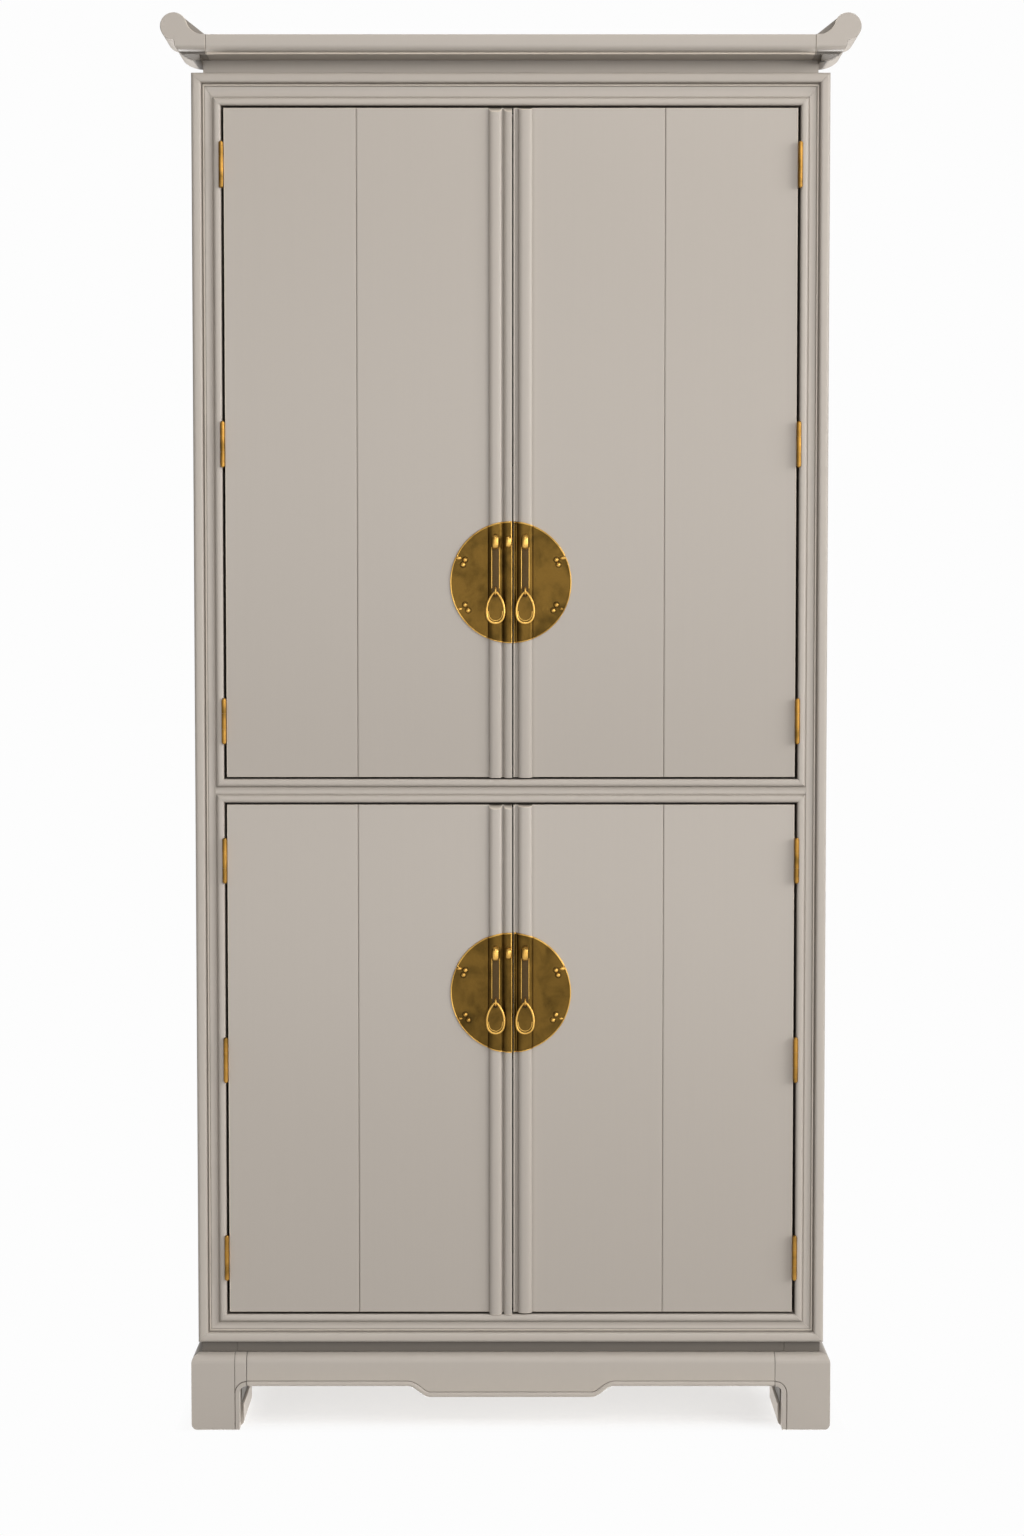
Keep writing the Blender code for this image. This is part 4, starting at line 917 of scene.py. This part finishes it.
def plate_loops(side, level):
    """The staple on the bead and the eye below it, and on a left half a small staple by the meeting edge."""
    places = [(BEAD_PLACE[side], STAPLE_RADIUS, STAPLE_WIDTH)]
    if side == "left":
        places.append((SMALL_STAPLE_PLACE, SMALL_STAPLE_RADIUS, SMALL_STAPLE_WIDTH))
    loops = []
    for place, radius, width in places:
        loops.append(staple(MEETING[side] + SIDES[side] * place, level + STAPLE_RISE,
                            plate_face(side, [place])[0], STAPLE_STAND, radius, STAPLE_WIRE, width,
                            STAPLE_FULLNESS))
    crown = plate_face(side, [BEAD_PLACE[side]])[0]
    eye = staple(bead_x(side), level - EYE_DROP, crown, EYE_STAND, EYE_RADIUS, EYE_WIRE, 2 * EYE_WIRE)
    return loops + [eye]


def plate_studs(side, level, stud):
    """Bright domes and dark ones: studs in pairs inside the rim on dark washers, a bulb that ends the rim's
    curl, a flatter one lower down, and a dark patch under the staple for its shadow."""
    under = on_plate(side, bead_x(side), level + STAPLE_RISE, -TRIM_SINK)
    bright, dark = [], [dome(under, STAPLE_SHADOW, squareness=0.5)]
    for turn in STUD_TURNS:
        centre = round_plate(side, level, STUD_CIRCLE, math.radians(turn), -TRIM_SINK)
        bright.append(dome(centre, (stud, stud * 0.9, stud)))
        dark.append(dome(centre, (stud * 1.4, WASHER_RISE, stud * 1.4), squareness=0.4))
    for turn, size in BULB_SIZES:
        centre = round_plate(side, level, BULB_CIRCLE, math.radians(turn), -TRIM_SINK)
        bright.append(dome(centre, size * BULB_RADII))
    return bright, dark


class CABINET_OT_lock_plates(bpy.types.Operator):
    """Makes the round lock plates: pressed halves, rolled rims, staples, eyes, studs and straps."""
    bl_idname = "cabinet.lock_plates"
    bl_label = "Lock plates"

    def execute(self, context):
        metals = finishes()
        sizes = context.scene.cabinet_sizes
        for tier, side, _, label in door_places():
            level, body, x = PLATE_LEVEL[tier], "door_" + label, bead_x(side)
            domes, dark = plate_studs(side, level, sizes.stud)
            bright = plate_rims(side, level, sizes.rim) + plate_loops(side, level) + domes
            # The strap lies over the bead's crown from the staple to below the eye, between two fine wires,
            # and runs on as a dark sheet behind the pull's hole for the shadow there
            ends = level + STRAP_ENDS
            for edge in (-1, 1):
                wire_x = x + edge * (sizes.strap / 2 + FINE_WIRE)
                run = on_plate(side, wire_x, np.linspace(*ends, 12), FINE_WIRE_LIFT)
                bright.append(tube(run, FINE_WIRE, 8))
            across = x + np.linspace(-0.5, 0.5, 9)[:, None] * sizes.strap
            top = on_plate(side, across, ends - [0.0, HOLE_SHADOW_TAIL], STRAP_LIFT)
            strap = shell(top, top + [0.0, STRAP_THICKNESS, 0.0])
            put_piece("lock_plate_sheet_" + label, [plate_sheet(side, level)], metals["brass_field"], body,
                      ("lock_plate_" + label,))
            for kind, parts, metal in (("bright", bright, "brass_rubbed"), ("dark", dark, "brass_dark"),
                                       ("strap", [strap], "brass_strap")):
                put_piece("lock_plate_%s_%s" % (kind, label), parts, metals[metal], body, ())
        return {"FINISHED"}


# Drop pulls and hinges

def tear_outline(x, z, steps=24):
    """The rim's middle line: a small round at the top, a wide one at the bottom and two long arcs that touch
    both. The long arcs' centres lie level with the belly: shift follows from touching the top round,
    low_radius from touching the bottom one."""
    half = PULL_HALF - PULL_RIM
    top = z - (EYE_RADIUS - EYE_WIRE - PULL_RIM - FIT) - PULL_TOP
    bottom = z - PULL_LENGTH + PULL_RIM
    belly = bottom + PULL_BELLY - PULL_RIM
    rise, fall, spread = top - belly, belly - bottom, half - PULL_TOP
    shift = (rise ** 2 - spread ** 2) / (2 * spread)
    low_radius = (half ** 2 + 2 * shift * half - fall ** 2) / (2 * (half + shift - fall))
    upper, lower = math.atan2(rise, shift), math.atan2(fall - low_radius, shift)
    arcs = ((0.0, top, PULL_TOP, upper, np.pi - upper),
            (shift, belly, half + shift, np.pi - upper, np.pi + lower),
            (0.0, bottom + low_radius, low_radius, np.pi + lower, 2 * np.pi - lower),
            (-shift, belly, half + shift, -lower, upper))
    across, height = [], []
    for aside, level, radius, start, end in arcs:
        turn = np.linspace(start, end, steps, endpoint=False)
        across.append(x + aside + radius * np.cos(turn))
        height.append(level + radius * np.sin(turn))
    return np.concatenate(across), np.concatenate(height), top


class CABINET_OT_drop_pulls(bpy.types.Operator):
    """Makes the four tear-shaped pulls: a dished field with a hole at its top, and a round rim."""
    bl_idname = "cabinet.drop_pulls"
    bl_label = "Drop pulls"

    def execute(self, context):
        metals = finishes()
        for tier, side, _, label in door_places():
            body, x = "pull_" + label, bead_x(side)
            y = plate_face(side, [BEAD_PLACE[side]])[0] - EYE_STAND
            z = PLATE_LEVEL[tier] - EYE_DROP
            across, height, top = tear_outline(x, z)
            # Field rings run from the hole to the rim's middle, and sink a little between
            turn = np.arctan2(height - top, across - x)
            share = np.linspace(0, 1, 9)[:, None]
            hole_x, hole_z = x + PULL_HOLE * np.cos(turn), top - PULL_HOLE_DROP + PULL_HOLE * np.sin(turn)
            ring_x, ring_z = hole_x + share * (across - hole_x), hole_z + share * (height - hole_z)
            sink = PULL_FIELD - PULL_DISH * np.sin(np.pi * share)
            front, rear = grid_points(ring_x, y - sink, ring_z), grid_points(ring_x, y + sink, ring_z)
            field = sweep(np.concatenate([front, rear[::-1]]), closed=True)
            put_piece("pull_field_" + label, [field], metals["brass_field"], body, ("drop_pull_" + label,))
            # A fine wire lies in the field beside the rim, from the belly down
            path = grid_points(across, y, height)
            belly = np.array([x, y, z - PULL_LENGTH + PULL_BELLY])
            low = belly + (path[height < belly[2]] - belly) * PULL_WIRE_INSET - [0, PULL_WIRE_LIFT, 0]
            rim = [tube(path, PULL_RIM, 12, closed=True), tube(low, FINE_WIRE, 8)]
            put_piece("pull_rim_" + label, rim, metals["brass_rubbed"], body, ())
        return {"FINISHED"}


class CABINET_OT_hinges(bpy.types.Operator):
    """Dresses both halves of every hinge in worn brass."""
    bl_idname = "cabinet.hinges"
    bl_label = "Hinges"

    def execute(self, context):
        brass = finishes()["brass_hinge"]
        for node in [name for name in frame["nodes"] if name.startswith("hinge_")]:
            refine(node, brass, sharp=32)
        return {"FINISHED"}


# Cornice

def scroll_levels():
    """Heights at which the outline of a scroll end is taken: close on its rounds."""
    quarter, half = np.linspace(0, np.pi / 2, 13), np.linspace(0, np.pi, 29)
    belly = SOFFIT + SCROLL_BELLY - (SCROLL_BELLY + SCROLL_HANG) * np.cos(quarter)
    ovolo = SOFFIT + CORNICE_FILLET + OVOLO * (1 - np.cos(quarter))
    scroll = SCROLL_TOP - SCROLL_RADIUS * (1 + np.cos(half))
    hollow = CORNICE_TOP + SCROLL_HOLLOW * (1 - np.cos(quarter))
    corners = [SOFFIT - 1e-5, SOFFIT, CORNICE_TOP - SCROLL_ARRIS, CORNICE_TOP]
    levels = np.unique(np.round(np.concatenate([belly, ovolo, scroll, hollow, corners]), 6))
    return levels[levels <= SCROLL_TOP]


def scroll_edges(levels, carved):
    """Inner and outer edge of the right-hand scroll end at each height.

    Outside, a quarter of an ellipse for the belly, an upright to the notch, and the scroll's circle. Inside,
    the neck, the joint, then the carved hollow's circle or the slope that touches the scroll, and the circle
    again.
    """
    middle = np.array([SCROLL_TIP - SCROLL_RADIUS, SCROLL_TOP - SCROLL_RADIUS])
    neck, notch = CORNICE_HALF + FIT, SCROLL_TIP - SCROLL_NOTCH
    chord = np.sqrt(np.maximum(SCROLL_RADIUS ** 2 - (levels - middle[1]) ** 2, 0))
    fall = np.clip((SOFFIT + SCROLL_BELLY - levels) / (SCROLL_BELLY + SCROLL_HANG), 0, 1)
    belly = neck + (notch - neck) * np.sqrt(1 - fall ** 2)
    outer = np.where(levels > middle[1] - SCROLL_RADIUS, middle[0] + chord, belly)
    if carved:
        level = CORNICE_TOP + SCROLL_HOLLOW
        centre = middle[0] - math.sqrt((SCROLL_RADIUS + SCROLL_HOLLOW) ** 2 - (level - middle[1]) ** 2)
        touch = level + (middle[1] - level) * SCROLL_HOLLOW / (SCROLL_RADIUS + SCROLL_HOLLOW)
        rise = centre + np.sqrt(np.maximum(SCROLL_HOLLOW ** 2 - (levels - level) ** 2, 0))
    else:
        across, up = middle - [SCROLL_JOINT, CORNICE_TOP]
        lean = math.atan2(up, across) + math.asin(SCROLL_RADIUS / math.hypot(across, up))
        touch = middle[1] + SCROLL_RADIUS * math.cos(lean)
        rise = SCROLL_JOINT + (levels - CORNICE_TOP) / math.tan(lean)
    inner = np.where(levels < SOFFIT, neck, SCROLL_JOINT)
    inner = np.where(levels > CORNICE_TOP, np.where(levels > touch, middle[0] - chord, rise), inner)
    return inner, outer


def scroll_part(sign, carved):
    """The carved front or the plain rear of a scroll end: rows at the levels, columns from edge to edge.

    The front face follows the board's ovolo, and leans back below the board. The arrises are soft: rubbed
    pale along the hollow and the joint. Painted shade darkens the ovolo as it turns down, the face below
    the board, the joint's gap and the belly's edge, and lies all over the rear.
    """
    levels = scroll_levels()
    inner, outer = scroll_edges(levels, carved)
    bend = np.clip((OVOLO_SPRING - levels) / OVOLO, 0, 1)
    lean = SCROLL_LEAN * np.maximum(SOFFIT - levels, 0)
    face = CORNICE_FRONT + OVOLO * (1 - np.sqrt(1 - bend ** 2)) + lean
    soft = np.minimum(SCROLL_ARRIS, (outer - inner) / 5)
    steps = np.stack([inner, inner, inner + soft, inner + 2 * soft, outer - soft, outer, outer], 1)
    start = face if carved else np.maximum(face + SCROLL_STEP, CORNICE_FRONT + SCROLL_CARVING)
    end = face + SCROLL_CARVING + SCROLL_OVERLAP if carved else np.full_like(face, SCROLL_BACK)
    depth = start[:, None] + SCROLL_ARRIS * np.array([2.0, 0.75, 0.0, 0.0, 0.0, 0.75, 2.0])
    front = grid_points(sign * steps, depth, levels[:, None])
    rear = grid_points(sign * steps, end[:, None], levels[:, None])
    marks = np.zeros(depth.shape + (2,))
    if carved:
        # Painted shade that grows as the ovolo turns down and stays full below it
        marks[:, 2:-1, 1] = 0.8 * bend[:, None] ** 2
        above = levels >= CORNICE_TOP - SCROLL_ARRIS
        joint = (levels >= SOFFIT) & (levels < CORNICE_TOP)
        marks[above, 1:3, 0] = 0.8, 0.5
        # Painted shadow in the joint's gap, with a rubbed pale line beside it
        marks[joint, 0:2, 1] = 0.9
        marks[joint, 2, 0] = 0.7
        # Painted shade along the belly's edge
        marks[levels < SCROLL_TOP - SCROLL_RADIUS, -2, 1] = 0.6
        # Painted shade on the face below the board
        marks[levels < SOFFIT + CORNICE_FILLET / 2, :-1, 1] = 0.75
    else:
        # Painted shade all over the plain rear, behind the carved front
        marks[:, :-1, 1] = 0.5
    return shell(front, rear, marks)


def neck_shade(points):
    """Painted shade that darkens towards the corner under the cornice."""
    return np.interp(points[:, 2], [CARCASS_TOP, SOFFIT], NECK_SHADE)


class CABINET_OT_cornice(bpy.types.Operator):
    """Makes the moulded cornice board, its scroll ends and the neck under it."""
    bl_idname = "cabinet.cornice"
    bl_label = "Cornice"

    def execute(self, context):
        lacquer = finishes()["satin_lacquer"]
        soft = context.scene.cabinet_sizes.softness
        turn = np.linspace(0, np.pi / 2, 13)
        depth = np.concatenate([[BACK, CORNICE_FRONT + 2 * soft, CORNICE_FRONT + soft, CORNICE_FRONT],
                                CORNICE_FRONT + OVOLO * (1 - np.cos(turn)),
                                [CORNICE_FRONT + OVOLO, CORNICE_FRONT + OVOLO + soft, BACK]])
        height = np.concatenate([[CORNICE_TOP, CORNICE_TOP, CORNICE_TOP - 0.3 * soft, CORNICE_TOP - soft],
                                 OVOLO_SPRING - OVOLO * np.sin(turn), [SOFFIT + 0.4 * soft, SOFFIT, SOFFIT]])
        # Rubbed at the upper arris and where the ovolo meets the fillet
        wear = np.concatenate([[0, 0.1, 0.45, 0.1], np.where(turn > 1.5, 0.9, 0.0), [0.9, 0.2, 0]])
        ends = np.array([[-CORNICE_JOINT], [CORNICE_JOINT]])
        parts = [sweep(grid_points(ends, depth, height), np.stack([np.stack([wear, 0 * wear], 1)] * 2))]
        # Behind the scroll ends the board is as wide as the neck
        for sign in SIDES.values():
            across = sign * np.array([[CORNICE_JOINT], [CORNICE_HALF]])
            run = np.array([CORNICE_NOTCH, BACK])
            parts.append(shell(grid_points(across, run, CORNICE_TOP), grid_points(across, run, SOFFIT)))
        put_piece("moulded_cornice_board", parts, lacquer, "cabinet", ("cornice_board",))
        for side, sign in SIDES.items():
            parts = [scroll_part(sign, True), scroll_part(sign, False)]
            put_piece("moulded_cornice_end_" + side, parts, lacquer, "cabinet", ("cornice_end_" + side,))
        # The neck under the cornice gets painted shade
        refine("top_board", lacquer, painted_shade_and_seams=neck_shade)
        return {"FINISHED"}


# Base

def apron_path(steps=28):
    """Lower edge of the front apron: straight, then a cosine drop to the middle; mirrored."""
    share = np.linspace(0, 1, steps + 1)
    across = np.concatenate([[-APRON_JOINT, -APRON_DROP_HALF - APRON_CURVE - APRON_RUN],
                             -APRON_DROP_HALF - APRON_CURVE * (1 - share), [-APRON_DROP_HALF + APRON_RUN]])
    height = np.concatenate([[APRON_EDGE] * 2, APRON_EDGE - APRON_DROP * (1 - np.cos(np.pi * share)) / 2,
                             [APRON_EDGE - APRON_DROP]])
    return np.concatenate([across, -across[::-1]]), np.concatenate([height, height[::-1]])


def apron_sections():
    """Sections of the front apron along its lower edge, and their wear and painted shade.

    Bead and groove lie at distances square to the edge. The face above them runs straight up to a quarter
    round, and the back closes the section.
    """
    across, height = apron_path()
    ahead = np.stack([np.gradient(across), np.gradient(height)], 1)
    ahead /= np.linalg.norm(ahead, axis=1, keepdims=True)
    turn, quarter = np.linspace(0, np.pi, 13), np.linspace(0, np.pi / 2, 11)
    bead = EDGE_BEAD / 2 * (1 - np.cos(turn))
    distance = np.concatenate([[0.0], bead, [EDGE_BEAD + EDGE_GROOVE / 2, EDGE_BEAD + EDGE_GROOVE]])
    crown = EDGE_BEAD_PROUD * np.sin(turn) - EDGE_BEAD_SINK * (1 - np.sin(turn)) ** 2
    proud = np.concatenate([[-EDGE_ARRIS], crown, [-EDGE_GROOVE_DEPTH, 0.0]])
    # Painted shade in the groove beside the bead
    painted_shade_and_seams = np.concatenate([[0.0], 0 * turn, [0.7, 0.1]])
    wear = np.concatenate([[0.3], 0.25 * np.sin(turn) ** 6, [0.0, 0.3]])
    x = across[:, None] - ahead[:, 1:] * distance
    lower = grid_points(x, BASE_FRONT - proud, height[:, None] + ahead[:, :1] * distance)
    spring = BASE_TOP - SHOULDER
    top_z = np.concatenate([[spring], spring + SHOULDER * np.sin(quarter), [BASE_TOP]])
    top_y = np.concatenate([[BASE_FRONT], BASE_FRONT + SHOULDER * (1 - np.cos(quarter)), [APRON_BACK]])
    upper = grid_points(x[:, -1:], top_y, top_z)
    sections = np.concatenate([lower, upper, grid_points(across, APRON_BACK, height)[:, None]], 1)
    marks = np.zeros(sections.shape[:2] + (2,))
    marks[:, :len(wear)] = np.stack([wear, painted_shade_and_seams], 1)
    return sections, marks


def arch_shade(points):
    """Painted shade on the sides of the front feet that face each other, between their toes and the apron.
    """
    inner = np.abs(points[:, 0]) < FOOT_GROOVE - EDGE_BEAD + 0.0005
    open_side = (points[:, 2] > TOE_HEIGHT + 0.001) & (points[:, 2] < APRON_EDGE + 0.0005)
    return np.where(inner & open_side & (points[:, 1] > BASE_FRONT + 0.003), ARCH_SHADE, 0.0)


def waist_shade(points):
    """Painted shade all over the waist, which stands back between carcass and feet."""
    return np.full(len(points), WAIST_SHADE)


class CABINET_OT_base(bpy.types.Operator):
    """Makes the beaded front apron, and dresses the feet, side aprons and waist."""
    bl_idname = "cabinet.base"
    bl_label = "Base"

    def execute(self, context):
        lacquer = finishes()["satin_lacquer_seamed"]
        put_piece("moulded_apron_front", [sweep(*apron_sections())], lacquer, "cabinet", ("apron_front",))
        # The front feet get painted shade under the arch, and the waist all over
        for side in SIDES:
            refine("foot_front_" + side, lacquer, painted_shade_and_seams=arch_shade)
        for node in ("foot_rear_left", "foot_rear_right", "apron_left", "apron_right"):
            refine(node, lacquer)
        refine("base_waist", lacquer, context.scene.cabinet_sizes.softness, painted_shade_and_seams=waist_shade)
        return {"FINISHED"}


class CABINET_OT_boards(bpy.types.Operator):
    """Dresses the carcass: sides outside, back, floor, divider and shelves inside."""
    bl_idname = "cabinet.boards"
    bl_label = "Carcass boards"

    def execute(self, context):
        lacquers = finishes()
        soft = context.scene.cabinet_sizes.softness
        for side in SIDES:
            refine("side_" + side, lacquers["satin_lacquer"], soft)
        for node in ("back_panel", "bottom_board", "divider_board", "shelf_upper", "shelf_lower"):
            refine(node, lacquers["inside_lacquer"], soft)
        return {"FINISHED"}


# Stage

def stage_material(name, colour, glow, matt):
    """Pale paper that partly glows, so that shadows on it stay pale: at the edge of the cabinet's footprint
    the glow grows to full and the matt part fades to nothing. The edge lies near 1 in
    the larger of |x| / half width and |y| / distance of the face."""
    material, tree, shader, place = new_material(name)
    spread = {0: place, 1: (HALF_WIDTH, -FACE, 1.0)}
    apart = add_node(tree, "ShaderNodeVectorMath", spread, operation="DIVIDE").outputs[0]
    apart = add_node(tree, "ShaderNodeVectorMath", {0: apart}, operation="ABSOLUTE").outputs[0]
    axes = add_node(tree, "ShaderNodeSeparateXYZ", {0: apart}).outputs
    away = calculate(tree, "MAXIMUM", axes["X"], axes["Y"])
    paper = dim(tree, colour, remap(tree, away, FOOTPRINT_EDGE, (matt, 0.0)))
    set_inputs(tree, shader, {"Base Color": paper,
                              "Emission Strength": remap(tree, away, FOOTPRINT_EDGE, (glow, 1.0)),
                              "Emission Color": (*colour, 1.0), "Roughness": 1.0, "Specular IOR Level": 0.0})
    return material


def stage_piece(name, points, faces, material, mirrored_by_gloss):
    """A floor or backdrop that the camera sees and that throws no soft light on the cabinet."""
    mesh = bpy.data.meshes.new(name)
    mesh.from_pydata(points, [], faces)
    mesh.materials.append(material)
    piece = bpy.data.objects.new(name, mesh)
    bpy.context.scene.collection.objects.link(piece)
    piece.visible_diffuse = False
    piece.visible_glossy = mirrored_by_gloss
    piece.visible_shadow = False


def soft_box(name, spot, aim, width, height, power):
    """An area light at a spot, turned to an aim."""
    lamp = bpy.data.lights.new(name, "AREA")
    lamp.shape = "RECTANGLE"
    lamp.size = width
    lamp.size_y = height
    lamp.energy = power
    light = bpy.data.objects.new(name, lamp)
    bpy.context.scene.collection.objects.link(light)
    x, y, z = np.array(spot) - np.array(aim)
    light.location = spot
    light.rotation_euler = (math.atan2(math.hypot(x, y), z), 0, math.atan2(x, -y))


class CABINET_OT_stage(bpy.types.Operator):
    """Makes the floor, the backdrop, the light and the camera."""
    bl_idname = "cabinet.stage"
    bl_label = "Stage"

    def execute(self, context):
        scene = context.scene
        sizes, colours = scene.cabinet_sizes, scene.cabinet_colours
        half = sizes.floor / 2
        corners = [(-half, -half), (half, -half), (half, half), (-half, half)]
        stage_piece("floor", [(x, y, 0) for x, y in corners], [(0, 1, 2, 3)],
                    stage_material("studio_floor", colours.floor, FLOOR_GLOW, FLOOR_MATT), True)
        stage_piece("backdrop", [(x, y, z) for z in (0, half) for x, y in corners],
                    [(0, 1, 5, 4), (1, 2, 6, 5), (2, 3, 7, 6), (3, 0, 4, 7), (4, 5, 6, 7)],
                    stage_material("studio_backdrop", colours.floor, 1.0, 0.0), False)
        world = bpy.data.worlds.new("studio")
        scene.world = world
        world.use_nodes = True
        set_inputs(world.node_tree, world.node_tree.nodes["Background"],
                   {"Color": (1.0, 1.0, 1.0, 1.0), "Strength": WORLD_STRENGTH})
        for name, settings in SOFT_BOXES.items():
            soft_box(name, *settings)
        lens = bpy.data.cameras.new("camera")
        lens.sensor_fit = "VERTICAL"
        lens.sensor_height = SENSOR
        lens.lens = SENSOR * FOCAL_PIXELS / FRAME_PIXELS
        lens.clip_end = 200.0
        camera = bpy.data.objects.new("camera", lens)
        scene.collection.objects.link(camera)
        camera.location = (0.0, FACE - sizes.camera_distance, sizes.camera_height)
        camera.rotation_euler = (math.radians(90 - CAMERA_TILT), 0.0, -CAMERA_TURN / FOCAL_PIXELS)
        scene.camera = camera
        scene.view_settings.view_transform = "Standard"
        return {"FINISHED"}


class CABINET_PT_dressing(bpy.types.Panel):
    """Lists the cabinet's dressing in the sidebar."""
    bl_label = "Cabinet"
    bl_space_type = "VIEW_3D"
    bl_region_type = "UI"
    bl_category = "Cabinet"

    def draw(self, context):
        for group in (context.scene.cabinet_sizes, context.scene.cabinet_colours):
            for name in group.__annotations__:
                self.layout.prop(group, name)
        for operator in OPERATORS:
            self.layout.operator(operator.bl_idname)


OPERATORS = (CABINET_OT_boards, CABINET_OT_face_frame, CABINET_OT_doors, CABINET_OT_lock_plates,
             CABINET_OT_drop_pulls, CABINET_OT_hinges, CABINET_OT_cornice, CABINET_OT_base, CABINET_OT_stage)
CLASSES = (CabinetSizes, CabinetColours) + OPERATORS + (CABINET_PT_dressing,)


def register():
    """Registers the classes and hangs the settings on the scene."""
    for item in CLASSES:
        bpy.utils.register_class(item)
    bpy.types.Scene.cabinet_sizes = PointerProperty(type=CabinetSizes)
    bpy.types.Scene.cabinet_colours = PointerProperty(type=CabinetColours)


def unregister():
    """Takes the settings and the classes away again."""
    del bpy.types.Scene.cabinet_sizes
    del bpy.types.Scene.cabinet_colours
    for item in reversed(CLASSES):
        bpy.utils.unregister_class(item)


def main():
    """Dresses the frame."""
    register()
    for operator in OPERATORS:
        group, name = operator.bl_idname.split(".")
        getattr(getattr(bpy.ops, group), name)()


if __name__ == "__main__":
    main()
